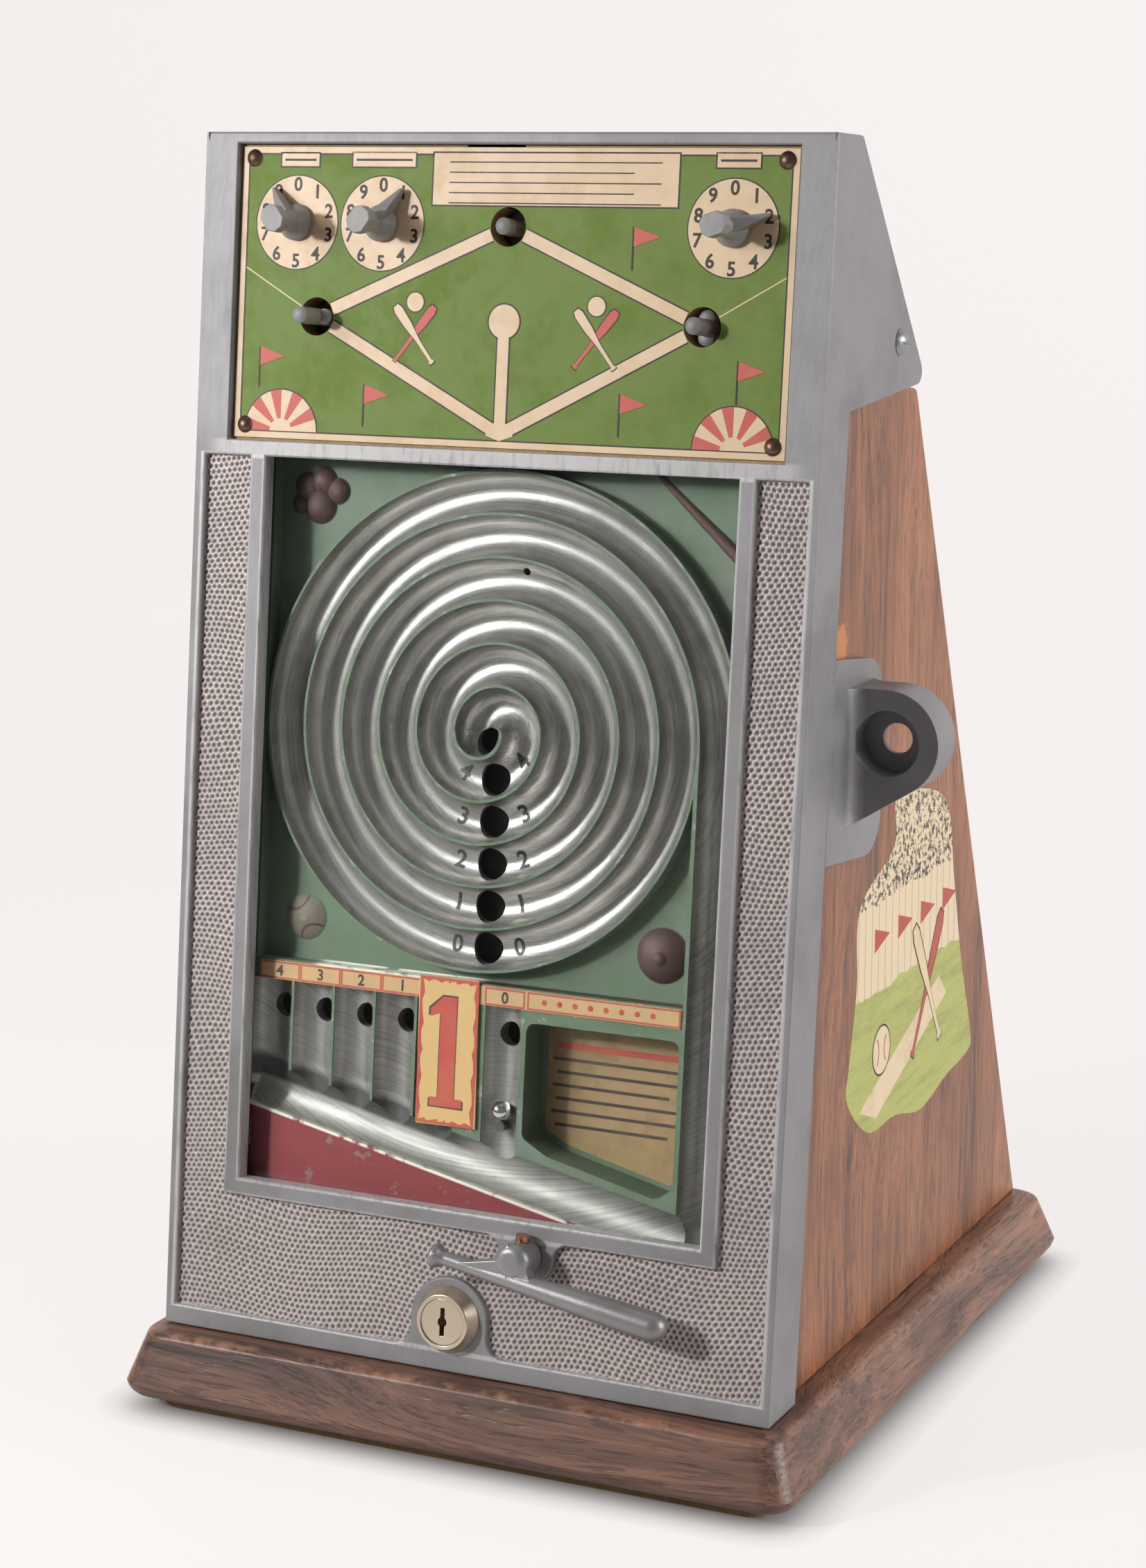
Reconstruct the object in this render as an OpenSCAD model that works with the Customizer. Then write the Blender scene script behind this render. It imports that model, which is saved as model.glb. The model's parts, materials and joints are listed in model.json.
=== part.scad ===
// Coin operated baseball game for a counter top
// Millimetres, Z up, X to the right, front towards -Y, origin under the middle of the foot

/* [Cabinet] */
// Width of the front casting
casting_w = 214; // [200:1:230]
// Lean of the front from the upright, degrees
lean = 6.33; // [4:0.01:8]
// Step from the casting sides in to the wood
side_inset = 3.8; // [3:0.1:5]
// Thickness of the wooden sides
side_t = 12; // [10:0.5:13]
// Depth of the wooden sides along the foot
cabinet_d = 252; // [240:1:280]
// Lean of the back from the upright, degrees
back_lean = 22.4; // [20:0.1:24]
// Thickness of the back panel
back_t = 8; // [6:0.5:10]

/* [Base] */
// Height of the base moulding
base_h = 23; // [18:0.5:30]
// Overhang of the moulding in front of the casting
base_front = 13; // [10:0.5:18]
// Overhang of the moulding beside the casting
base_side = 11; // [9:0.5:16]
// Overhang of the moulding behind the cabinet
base_rear = 11; // [9:0.5:16]
// Outward flare from the upper arris to the widest line
base_flare = 5.5; // [3:0.5:7]
// Width of the sloping ledge at the top
base_ledge = 4; // [2:0.5:5]
// Fall of the sloping ledge
base_fall = 1.5; // [0.5:0.25:3]
// Corner radius of the moulding in plan
base_corner_r = 9; // [6:0.5:14]
// Rounding of the lower edge
base_round = 5; // [3:0.5:7]
// Thickness of the bottom board
plinth_h = 4; // [3:0.5:8]
// Inset of the bottom board under the moulding
plinth_inset = 9; // [6:0.5:14]

/* [Front casting] */
// Wall of the casting
wall = 3; // [2.5:0.25:4]
// Depth of the grained recess
recess = 2.5; // [1.5:0.25:3]
// Width of the plain border beside the recess
rim = 2.8; // [2:0.2:5]
// Height of the plain border below the recess
foot_rim = 7.1; // [5:0.1:10]
// Width of the bead round the window
bead = 5.6; // [4:0.2:8]
// Depth of the side flanges that lap over the wood
flange_d = 22; // [18:0.5:26]
// Width of the window
window_w = 162.4; // [150:0.2:166]
// Height of the window
window_h = 233; // [232:0.5:240]
// Height of the window above the foot of the casting
window_foot = 52.2; // [50:0.2:56]
// Height of the bar between window and score opening
bar_h = 5.1; // [4:0.1:8]
// Width of the score opening
score_w = 190.6; // [186:0.2:194]
// Height of the score opening
score_h = 92.9; // [90:0.1:98]
// Height of the border above the score opening
top_rim = 3.6; // [3.5:0.1:6]
// Gap under the casting
foot_gap = 0.4; // [0.3:0.1:1]

/* [Hood] */
// Depth of the top
hood_d = 21; // [20:0.5:24]
// Fall of the top from front to rear
hood_fall = 1; // [0:0.25:2]
// Distance of the hinge behind the top front edge
hinge_behind = 55.7; // [54:0.1:58]
// Distance of the hinge below the top front edge
hinge_below = 63.8; // [62:0.1:66]
// Reach of the cheeks behind the hinge
cheek_reach = 25.4; // [24:0.1:27]
// Drop of the rear corner of the cheeks below the hinge
cheek_drop = 13.7; // [12:0.1:16]
// Drop of the front end of the cheeks below the hinge
cheek_front = 18.4; // [16:0.1:22]
// Thickness of the sloping back of the hood
hood_wall = 2; // [1.5:0.1:2.5]
// Radius of the hinge pins
pin_r = 2.4; // [2:0.1:3]
// Radius of the heads of the hinge pins
pin_head_r = 4.2; // [3.6:0.1:5]
// Length of the coin slot
coin_slot_l = 20.4; // [19.5:0.1:22]
// Width of the coin slot
coin_slot_w = 2.2; // [1.8:0.1:2.6]

/* [Score board] */
// Thickness of the wooden score board
board_t = 8; // [6:0.5:9]
// Thickness of the printed plate
plate_t = 0.6; // [0.4:0.1:1]
// Gap between printed plate and opening
plate_gap = 1.5; // [0.5:0.1:3]
// Distance of the outer dials from the middle
dial_out = 74.3; // [72:0.1:78]
// Distance of the second dial on the left from the middle
dial_in = 43.8; // [40:0.1:48]
// Distance of the dials below the top of the opening
dial_drop = 24.3; // [22:0.1:28]
// Distance of the outer bases from the middle
base_out = 66; // [62:0.1:70]
// Distance of the outer bases below the top of the opening
base_drop = 53.5; // [50:0.1:56]
// Distance of the middle base below the top of the opening
mid_base_drop = 24.8; // [24:0.1:27]
// Radius of the holes for the base pegs
base_hole_r = 6; // [5.5:0.1:6.5]
// Radius of the nail heads
nail_head_r = 2.8; // [2:0.1:3]
// Distance of the nails from the edge of the opening
nail_in = 4.8; // [4.5:0.1:6]

/* [Score knobs] */
// Radius of the knob foot
knob_r = 5.7; // [5.5:0.1:7.5]
// Height of the knob in front of the plate
knob_h = 16; // [12:0.5:18]
// Width of the flat cap across the pointer
cap_w = 7; // [6:0.5:9]
// Length of the flat cap along the pointer
cap_l = 8.5; // [7.5:0.5:11]
// Reach of the pointer from the middle
pointer_l = 13; // [8:0.2:14]
// Width of the pointer at the knob
pointer_w = 4.4; // [3:0.2:5]
// Height of the pointer at the knob, in front of the plate
pointer_h = 8; // [5:0.5:9]
// Radius of the knob spindle
spindle_r = 2.5; // [2:0.1:3]
// Turn of the left knob, degrees
left_turn = -36; // [-180:36:180]
// Turn of the middle knob, degrees
mid_turn = 36; // [-180:36:180]
// Turn of the right knob, degrees
right_turn = 72; // [-180:36:180]

/* [Base pegs] */
// Radius of the peg stem
peg_r = 2.6; // [2.2:0.1:3]
// Reach of a peg in front of the plate when it is out
peg_stand = 11.5; // [10:0.5:14]
// Travel of a peg
peg_travel = 7; // [6:0.5:9.5]
// Radius of the two lobes on a peg
lobe_r = 2.5; // [2:0.1:2.6]
// Distance of the lobes from the axis of the peg
lobe_out = 3; // [2.5:0.1:3.2]

/* [Playfield] */
// Thickness of the window glass
glass_t = 2; // [1.5:0.25:3]
// Depth of the groove crests behind the casting face
field_depth = 10; // [10:0.25:12]
// Thickness of the playfield casting
field_t = 10; // [9:0.5:12]
// Distance between turns of the spiral
pitch = 13.4; // [13:0.1:13.8]
// Width of the crests between grooves
crest = 0.9; // [0.6:0.1:1.4]
// Depth of the grooves behind their crests
groove_d = 8.6; // [7:0.1:8.8]
// Depth of the sunk corners behind the crests
sunk_d = 6; // [4:0.5:7]
// Sideways place of the spiral
spiral_u = 0; // [-1:0.1:1]
// Height of the spiral above the foot of the casting
spiral_v = 202.4; // [201:0.1:203]
// Radius of the holes in the spiral
spiral_hole_r = 5.15; // [4.5:0.05:5.5]
// Distance between the lower channels
channel_pitch = 15; // [14.6:0.1:15.2]
// Sideways place of the first lower channel
channel_u = -76.5; // [-78:0.1:-76]
// Sideways place of the last lower channel
out_u = 7; // [6:0.1:7.5]
// Radius of the last lower channel
out_r = 6.4; // [6:0.1:6.6]
// Height of the upper end of the lower channels
channel_top = 117; // [116:0.5:118]
// Height of the ramp at the middle
ramp_v = 66; // [65:0.1:67]
// Slope of the ramp, degrees
ramp_tilt = 11.6; // [11:0.1:12]
// Radius of the ramp section
ramp_r = 7.4; // [7:0.1:7.6]
// Depth of the pocket behind the crests
pocket_d = 13.5; // [12:0.5:14]
// Diameter of the ball
ball_d = 6.35; // [6:0.05:6.5]
// Height of the ball in its channel
ball_v = 83.7; // [82:0.1:85]
// Travel of the ball in its channel
ball_travel = 20; // [10:1:22]

/* [Bat] */
// Sideways place of the bat hub
hub_u = 23; // [22:0.1:25]
// Height of the bat hub
hub_v = 41.7; // [41:0.1:43]
// Distance of the bat in front of the casting face
bat_stand = 8.5; // [8:0.1:10]
// Distance of the bat below its hub
bat_drop = 6; // [5:0.1:7]
// Reach of the bat from the hub to the barrel end
bat_reach = 54; // [50:0.5:56]
// Reach of the bat from the hub to the knob end
bat_back = 28; // [24:0.5:30]
// Slope of the bat at rest, degrees
bat_tilt = 8.5; // [7:0.1:10]
// Radius of the barrel
barrel_r = 4.7; // [4:0.1:5]
// Radius of the handle
handle_r = 2.3; // [2:0.1:2.8]
// Radius of the knob end
bat_knob_r = 4.1; // [3.5:0.1:4.5]
// Radius of the hub disc
hub_r = 6; // [5.5:0.1:6.5]
// Radius of the cast boss behind the hub
bat_boss_r = 9.5; // [8.5:0.1:10]
// Radius of the bat shaft
shaft_r = 3; // [2.5:0.1:3.2]
// Reach of the kicker from the shaft
kicker_reach = 51; // [49:0.5:52]

/* [Lock] */
// Sideways place of the lock
lock_u = -2.8; // [-5:0.1:0]
// Height of the lock
lock_v = 17.5; // [17:0.1:18.5]
// Radius of the lock ring
lock_ring_r = 11; // [10.6:0.1:12]
// Height of the lock ring
lock_ring_h = 4.6; // [3:0.1:6]
// Radius of the lock barrel
lock_barrel_r = 9.4; // [9:0.1:9.5]
// Radius of the lock plug
lock_plug_r = 7.4; // [6.5:0.1:7.6]
// Radius of the cast boss round the lock
lock_boss_r = 13.5; // [12.5:0.1:14]
// Reach of the lock cam
cam_reach = 12.5; // [12:0.1:13]

/* [Anchor lug] */
// Height of the lug flange
lug_h = 62.5; // [56:0.5:70]
// Depth of the lug flange
lug_d = 44.5; // [40:0.5:48]
// Thickness of the lug flange
lug_t = 3.5; // [3:0.1:5]
// Place of the front of the lug boss behind the casting
lug_bore_y = 17.3; // [15:0.1:20]
// Height of the lug bore above the base
lug_bore_z = 201.5; // [190:0.5:215]
// Reach of the lug bore from the wood
lug_reach = 15; // [14:0.1:20]
// Thickness of the lug boss
lug_boss_t = 16; // [14:0.1:18]
// Radius of the round end of the lug
lug_end_r = 16.6; // [14:0.1:18]
// Radius of the recess in the lug
lug_recess_r = 10.2; // [8:0.1:12]
// Depth of the recess in the front of the lug
lug_recess_d = 10; // [8:0.1:11]
// Thickness left between the front and rear recess
lug_web = 2.5; // [2:0.1:3]
// Radius of the bore through the lug
lug_bore_r = 4.76; // [3.5:0.01:6]

/* [Inside] */
// Width of the coin passage
coin_gap = 2.8; // [2.4:0.1:3.2]
// Depth of the coin passage
coin_depth = 21; // [20:0.2:21.5]
// Width of the cash box
cash_w = 124; // [100:1:140]
// Depth of the cash box
cash_d = 130; // [100:1:140]
// Height of the cash box
cash_h = 60; // [40:1:70]
// Sheet thickness of the cash box
cash_t = 1.2; // [0.8:0.1:2]
// Radius of the wood screws
screw_r = 1.6; // [1.4:0.1:2]

/* [Hidden] */
$fn = 48;
running = 0.05;
snug = 0.03;
swing_gap = 0.3;
fine = 1;
base_top = base_h + plinth_h;
mid_y = (cabinet_d + base_rear - base_front) / 2;
half_w = casting_w / 2;
wood_x = half_w - side_inset;
inner_x = wood_x - side_t;
flange_t = side_inset - swing_gap;
face_t = recess + wall;
window_top = window_foot + window_h;
score_foot = window_top + bar_h;
score_top = score_foot + score_h;
face_h = score_top + top_rim;
board_lap = 2.2;
board_foot = score_foot - board_lap;
board_top = score_top - 0.2;
board_half = half_w - flange_t - 1.5;
board_rear = wall + board_t;
plate_front = wall - plate_t;
side_front = board_rear + 2;
top_y = face_h * sin(lean);
top_z = face_h * cos(lean);
hood_rear = [top_y + hood_d, top_z - hood_fall];
hinge = [top_y + hinge_behind, top_z - hinge_below];
cheek_corner = hinge + [cheek_reach, -cheek_drop];
cheek_t = unit(cheek_corner - hood_rear);
cheek_n = [-cheek_t[1], cheek_t[0]];
cheek_gap = (hood_rear - hinge) * cheek_n;
hinge_run = (hinge - hood_rear) * cheek_t;
ear_r = 20;
hood_wide = hinge_run - ear_r - swing_gap;
hood_lap = 12;
hood_long = hinge_run + hood_lap;
rail_r = 7;
side_top = cheek_corner[1] - 2.5;
rail_gap = 0.6;
back_top = hinge[1] - rail_r - rail_gap;
cleat_t = 12;
cleat_w = 10;
cleat_h = 250;
glass_lap = 1.5;
glass_half = window_w / 2 + glass_lap;
glass_back = face_t + glass_t;
field_half = 90;
field_foot = 49;
field_top = board_foot - 0.6;
field_rear = field_depth + field_t;
field_screw_u = glass_half + 4;
field_screw_vs = [66, field_top - 6];
clip_t = 1;
boss_r = 3.6;
field_screw_r = 1.8;
upper_0 = 1.5 * pitch - 5.1;
lower_shift = pitch / 2;
hole_u = spiral_u - lower_shift / 2;
groove_r = (pitch - crest) / 2;
groove_c = field_depth + groove_d - groove_r;
rim_r = groove_r + crest;
lane_u = spiral_u + upper_0 + 4.5 * pitch;
lane_foot = 44;
lane_left = lane_u - pitch / 2;
channel_r = channel_pitch / 2 - 0.35;
channel_n = 5;
channel_hole_v = channel_top - 9;
channel_hole_r = 3.9;
channel_rise = 1.4;
ball_gap = 0.1;
ball_depth = field_depth - channel_rise + out_r - ball_d / 2 - ball_gap;
pocket_pts = [[15.2, 113], [15.2, 76.5], [24, 71.6], [62, 63], [67.4, 67], [67.4, 113]];
relief_u = window_w / 2 - 12;
relief_low = channel_top + 19.5;
relief_top = window_top - 12;
relief_foot = 0.4;
sunk_edge = 0.6;
cup_r = 7.6;
cup_d = groove_d;
cup_ball_r = (pow(cup_r, 2) + pow(cup_d, 2)) / (2 * cup_d);
cup_hole_r = 4.2;
pin_hole_r = 1.2;
label_u = -window_w / 2 - 0.2;
label_w = 149;
label_h = 6;
card_w = 21;
card_h = 47.3;
card_u = -11.7;
card_v = channel_top - 16.4;
slip_gap = 1.8;
tray_wall = 2;
cover_foot = channel_top - 16;
cover_h = 116;
cover_in = 3;
cover_edge = 8;
tray_rear = field_depth + pocket_d + tray_wall;
cover_front = field_rear + ball_d + 0.9;
cover_t = 1.5;
cover_rear = cover_front + cover_t;
guide_half = 9;
chute_front = cover_rear + 1.2;
chute_rear = chute_front + coin_depth + 2 * fine;
chute_half = coin_gap / 2 + fine;
chute_foot = 120;
chute_u = -(guide_half + 1.2 + chute_half);
mouth_v = score_top - 12;
mouth_d = wall + 0.6;
knob_back = board_rear;
collar_r = 6;
collar_h = 4;
peg_out = plate_front - peg_stand;
lobe_front = plate_front - 0.6;
guide_bore = lobe_front + 2 * lobe_r + peg_travel + 0.6;
guide_rear = guide_bore + 3;
peg_rear = guide_rear + 0.8;
peg_len = peg_rear - peg_out;
outer_base_v = score_top - base_drop;
mid_base_v = score_top - mid_base_drop;
dial_v = score_top - dial_drop;
bush_r = 5;
bush_rear = face_t + 7;
hub_gap = 0.6;
hub_front = -bat_stand - 3.2;
hub_round = 3.6;
arm_front = tray_rear - 3;
arm_rear = arm_front + 3;
arm_w = 9;
arm_hub_r = field_foot - hub_v - 0.8;
finger_r = 2;
spring_u = hub_u + 36;
spring_d = tray_rear + 5;
spring_coil_r = 2.8;
spring_wire_r = 0.5;
spring_turns = 13;
post_r = 1.5;
post_v = 88;
arm_pin_v = hub_v + 1;
spring_foot = arm_pin_v + post_r;
spring_len = post_v - post_r - spring_foot;
lock_rear = 16.5;
nut_r = 12;
nut_t = 3.5;
tail_r = 4;
key_w = 1.5;
key_h = 9;
key_d = 9;
cam_front = 20.5;
cam_t = 2.4;
cam_w = 9;
keeper_y = 20.8;
keeper_h = 7.5;
keeper_t = 2;
gate_r = 1.5;
gate_u = out_u;
gate_v = ball_v - ball_d / 2 - gate_r - 0.4;
gate_front = field_depth + 1.2;
gate_plate = field_rear + 0.5;
gate_travel = 5;
lug_cy = face_y(flange_d, lug_bore_z) + lug_bore_y;
lug_x = wood_x + lug_reach;
lug_root = 27;
lug_gap = 0.6;
lug_z0 = lug_bore_z - 35.5;
lug_rear = face_y(flange_d, lug_bore_z) + lug_gap + lug_d;
lug_fall = lug_d * tan(lean);
lug_corner_r = 13;
lug_screw_y = lug_rear - 9;
lug_screw_zs = [lug_z0 + 6, lug_z0 + lug_h - 16];
cash_y = 42;
base_screw_ys = [70, 140, 215];

function unit(v) = v / norm(v);
function face_y(depth, z) = depth / cos(lean) + z * tan(lean);
function back_y(z) = cabinet_d - z * tan(back_lean);
function turn_to(c, p) = atan2(p[1] - c[1], p[0] - c[0]);
function corner(p, q, s, r, n) =
    let (a = unit(p - q))
    let (b = unit(s - q))
    let (half = acos(a * b) / 2)
    let (c = q + unit(a + b) * r / sin(half))
    let (t0 = turn_to(c, q + a * r / tan(half)))
    let (t1 = turn_to(c, q + b * r / tan(half)))
    let (dt = (t1 - t0 + 540) % 360 - 180)
    [for (i = [0:n]) c + r * [cos(t0 + dt * i / n), sin(t0 + dt * i / n)]];
function round_off(pts, r, n = 6) =
    let (k = len(pts))
    [for (i = [0:k - 1]) each corner(pts[(i + k - 1) % k], pts[i], pts[(i + 1) % k], r, n)];
function tangent(p, c, r, side) =
    let (a = turn_to(c, p) + side * acos(r / norm(p - c)))
    c + r * [cos(a), sin(a)];
function smooth(t) = t * t * (3 - 2 * t);
function ramp_at(u) = ramp_v - u * tan(ramp_tilt);
function ridge_u(k) = channel_u + (k + 0.5) * channel_pitch;

// Placing helpers
module cab() {
    translate([0, -mid_y, base_top]) children();
}

module face() {
    cab() rotate([-lean, 0, 0]) children();
}

module slab(d0, d1) {
    translate([0, d1, 0]) rotate([90, 0, 0]) linear_extrude(d1 - d0) children();
}

module stud(u, v, d0, d1, r) {
    translate([u, d1, v]) rotate([90, 0, 0]) cylinder(h = d1 - d0, r = r);
}

module side_plate(x0, x1) {
    translate([x0, 0, 0]) rotate([90, 0, 90]) linear_extrude(x1 - x0) children();
}

module cross_rod(x0, x1, at, r) {
    translate([x0, at[0], at[1]]) rotate([0, 90, 0]) cylinder(h = x1 - x0, r = r);
}

module dome(r, h) {
    big = (r * r + h * h) / (2 * h);
    intersection() {
        translate([0, 0, h - big]) sphere(r = big);
        cylinder(h = h, r = r + 1);
    }
}

module frame2d(w, v0, v1, grow) {
    translate([-w / 2 - grow, v0 - grow]) square([w + 2 * grow, v1 - v0 + 2 * grow]);
}

// Base and cabinet
module base_slice(z, inset) {
    x = half_w + base_side - inset;
    y0 = -base_front + inset;
    y1 = cabinet_d + base_rear - inset;
    translate([0, 0, z]) linear_extrude(0.02)
        polygon(round_off([[-x, y0], [x, y0], [x, y1], [-x, y1]], base_corner_r));
}

module base_moulding() {
    color("saddlebrown") cab() difference() {
        hull() {
            base_slice(-0.02, base_flare + base_ledge);
            base_slice(-base_fall, base_flare);
            base_slice(-base_h + base_round, 0);
            base_slice(-base_h + base_round * 0.5, base_round * 0.13);
            base_slice(-base_h + base_round * 0.13, base_round * 0.5);
            base_slice(-base_h, base_round);
        }
        for (x = [-1, 1], y = base_screw_ys) {
            translate([x * (wood_x - side_t / 2), y, -base_h - 1]) cylinder(h = base_h + 2, r = 2 + snug);
            translate([x * (wood_x - side_t / 2), y, -base_h - 1]) cylinder(h = 10, r = 4.4);
        }
    }
}

module bottom_board() {
    x = half_w + base_side - plinth_inset;
    y0 = -base_front + plinth_inset;
    y1 = cabinet_d + base_rear - plinth_inset;
    color("sienna") cab() translate([0, 0, -base_h - plinth_h]) linear_extrude(plinth_h)
        polygon(round_off([[-x, y0], [x, y0], [x, y1], [-x, y1]], base_corner_r));
}

module side2d() {
    z3 = hinge[1] - 6;
    polygon([
        [face_y(side_front, 0), 0],
        [cabinet_d, 0],
        [back_y(side_top), side_top],
        [face_y(side_front, z3), z3]
    ]);
    difference() {
        translate(hinge) circle(r = ear_r);
        translate(hinge) rotate(atan2(cheek_n[1], cheek_n[0]))
            translate([cheek_gap - 1.5, -2 * ear_r]) square(4 * ear_r);
    }
}

module side_panel(s) {
    x0 = s > 0 ? inner_x : -wood_x;
    cab() difference() {
        side_plate(x0, x0 + side_t) side2d();
        cross_rod(x0 - 1, x0 + side_t + 1, hinge, pin_r + snug);
        for (y = base_screw_ys)
            translate([s * (wood_x - side_t / 2), y, -1]) cylinder(h = 21.2, r = 2 + snug);
        if (s > 0)
            for (z = lug_screw_zs)
                cross_rod(x0 - 1, x0 + side_t + 1, [lug_screw_y, z], screw_r + snug);
    }
}

module left_side() {
    color("peru") side_panel(-1);
}

module right_side() {
    color("peru") side_panel(1);
}

module back_frame() {
    cab() translate([0, cabinet_d, 0]) rotate([back_lean, 0, 0]) children();
}

module back_screw_places() {
    for (x = [-1, 1], s = [30, 130, 230])
        back_frame() translate([x * (inner_x - cleat_w / 2), 0, s]) children();
}

module back_panel() {
    step = back_t / cos(back_lean);
    color("burlywood") difference() {
        cab() side_plate(-inner_x, inner_x) polygon([
            [back_y(0), 0],
            [back_y(back_top), back_top],
            [back_y(back_top) - step, back_top],
            [back_y(0) - step, 0]
        ]);
        back_screw_places() rotate([90, 0, 0]) translate([0, 0, -1]) cylinder(h = back_t + 4, r = screw_r + snug);
    }
}

module back_cleats() {
    step = back_t / cos(back_lean);
    color("tan") difference() {
        cab() for (x0 = [-inner_x, inner_x - cleat_w]) side_plate(x0, x0 + cleat_w) polygon([
            [back_y(0) - step, 0],
            [back_y(cleat_h) - step, cleat_h],
            [back_y(cleat_h) - step - cleat_t, cleat_h],
            [back_y(0) - step - cleat_t, 0]
        ]);
        back_screw_places() rotate([90, 0, 0]) translate([0, 0, -1]) cylinder(h = back_t + 11, r = screw_r + snug);
    }
}

module back_screws() {
    color("goldenrod") back_screw_places() {
        rotate([90, 0, 0]) translate([0, 0, -0.5]) cylinder(h = back_t + 9, r = screw_r);
        rotate([-90, 0, 0]) dome(3.6, 2);
    }
}

module base_screws() {
    color("gray") cab() for (x = [-1, 1], y = base_screw_ys)
        translate([x * (wood_x - side_t / 2), y, 0]) {
            translate([0, 0, 6 - base_h]) cylinder(h = base_h + 13, r = 2);
            translate([0, 0, 5.8 - base_h]) cylinder(h = 3, r = 4.2);
        }
}

module hinge_rail() {
    color("burlywood") cab() difference() {
        cross_rod(-inner_x, inner_x, hinge, rail_r);
        cross_rod(-inner_x - 1, -inner_x + 15, hinge, pin_r + snug);
        cross_rod(inner_x - 15, inner_x + 1, hinge, pin_r + snug);
    }
}

module hinge_pins() {
    color("silver") cab() for (s = [-1, 1]) mirror([s < 0 ? 1 : 0, 0, 0]) difference() {
        union() {
            cross_rod(inner_x - 10, half_w + 1, hinge, pin_r);
            translate([half_w + 0.2, hinge[0], hinge[1]]) rotate([0, 90, 0]) dome(pin_head_r, 2.4);
        }
        translate([half_w + 1.6, hinge[0] - 6, hinge[1] - 0.5]) cube([2, 12, 1]);
    }
}

module cash_box() {
    color("dimgray") cab() difference() {
        translate([-cash_w / 2, cash_y, 0]) cube([cash_w, cash_d, cash_h]);
        translate([-cash_w / 2 + cash_t, cash_y + cash_t, cash_t])
            cube([cash_w - 2 * cash_t, cash_d - 2 * cash_t, cash_h]);
    }
}

module lock_keeper() {
    color("gray") cab() translate([lock_u, 0, 0]) {
        translate([-11, keeper_y - 10, 0]) cube([22, 10, keeper_t]);
        translate([-9, keeper_y - keeper_t, 0]) cube([18, keeper_t, keeper_h]);
    }
}

// Anchor lug on the right hand side
module lug2d() {
    root = [wood_x + lug_t - 0.5, lug_bore_z - lug_root];
    c = [lug_x, lug_bore_z];
    intersection() {
        translate(c) circle(r = lug_end_r);
        translate([root[0], c[1] - lug_end_r]) square(2 * lug_end_r);
    }
    polygon([
        [root[0], lug_bore_z + lug_end_r],
        [c[0], lug_bore_z + lug_end_r],
        tangent(root, c, lug_end_r, 1),
        root
    ]);
}

module lug_cove(y, r, side) {
    // Rounded corner between the flange and one face of the boss
    x1 = wood_x + lug_t;
    z0 = lug_bore_z - lug_root;
    h = lug_root + lug_end_r;
    intersection() {
        difference() {
            translate([x1 - 0.5, side > 0 ? y - 0.5 : y - r, z0]) cube([r + 0.5, r + 0.5, h]);
            translate([x1 + r, y + side * r, z0 - 1]) cylinder(h = h + 2, r = r);
        }
        translate([0, y + r + 1, 0]) rotate([90, 0, 0]) linear_extrude(2 * r + 2) lug2d();
    }
}

module anchor_lug() {
    y0 = lug_cy;
    y1 = lug_cy + lug_boss_t;
    low = [face_y(flange_d, lug_z0) + lug_gap, lug_z0];
    top = [face_y(flange_d, lug_z0 + lug_h) + lug_gap, lug_z0 + lug_h];
    low_rear = [lug_rear, lug_z0 - lug_fall];
    top_rear = [lug_rear, lug_z0 + lug_h - lug_fall];
    outline = concat(
        [low, top],
        corner(top, top_rear, low_rear, lug_corner_r, 8),
        corner(top_rear, low_rear, low, lug_corner_r, 8)
    );
    color("lightgray") cab() difference() {
        union() {
            side_plate(wood_x, wood_x + lug_t) polygon(outline);
            translate([0, y1, 0]) rotate([90, 0, 0]) linear_extrude(y1 - y0) lug2d();
            lug_cove(y1, 6, 1);
            lug_cove(y0, 5, -1);
        }
        translate([lug_x, y0 + lug_recess_d, lug_bore_z]) rotate([90, 0, 0])
            cylinder(h = lug_recess_d + 1, r = lug_recess_r);
        translate([lug_x, y1 + 1, lug_bore_z]) rotate([90, 0, 0])
            cylinder(h = lug_boss_t - lug_recess_d - lug_web + 1, r = lug_recess_r);
        translate([lug_x, y1 + 1, lug_bore_z]) rotate([90, 0, 0]) cylinder(h = lug_boss_t, r = lug_bore_r);
        for (z = lug_screw_zs) cross_rod(wood_x - 1, wood_x + 2.6, [lug_screw_y, z], screw_r + snug);
    }
}

module lug_screws() {
    color("gray") cab() for (z = lug_screw_zs) {
        cross_rod(inner_x - 0.5, wood_x + 2.4, [lug_screw_y, z], screw_r);
        translate([inner_x, lug_screw_y, z]) rotate([0, -90, 0]) dome(3.6, 2);
    }
}

// Front door casting
module lock_boss2d() {
    f = 6;
    translate([lock_u, lock_v]) circle(r = lock_boss_r);
    translate([lock_u - lock_boss_r, 0]) square([2 * lock_boss_r, lock_v]);
    for (s = [-1, 1]) translate([lock_u + s * (lock_boss_r + f / 2 - 0.5), foot_rim + f / 2 - 0.5]) difference() {
        square(f + 1, center = true);
        translate([s * (f / 2 + 0.5), f / 2 + 0.5]) circle(r = f);
    }
}

module bat_boss2d() {
    f = 5;
    low = window_foot - bead;
    translate([hub_u, hub_v]) circle(r = bat_boss_r);
    translate([hub_u - bat_boss_r, hub_v]) square([2 * bat_boss_r, low + 1 - hub_v]);
    for (s = [-1, 1]) translate([hub_u + s * (bat_boss_r + f / 2 - 0.5), low - f / 2 + 0.5]) difference() {
        square(f + 1, center = true);
        translate([s * (f / 2 + 0.5), -f / 2 - 0.5]) circle(r = f);
    }
}

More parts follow.
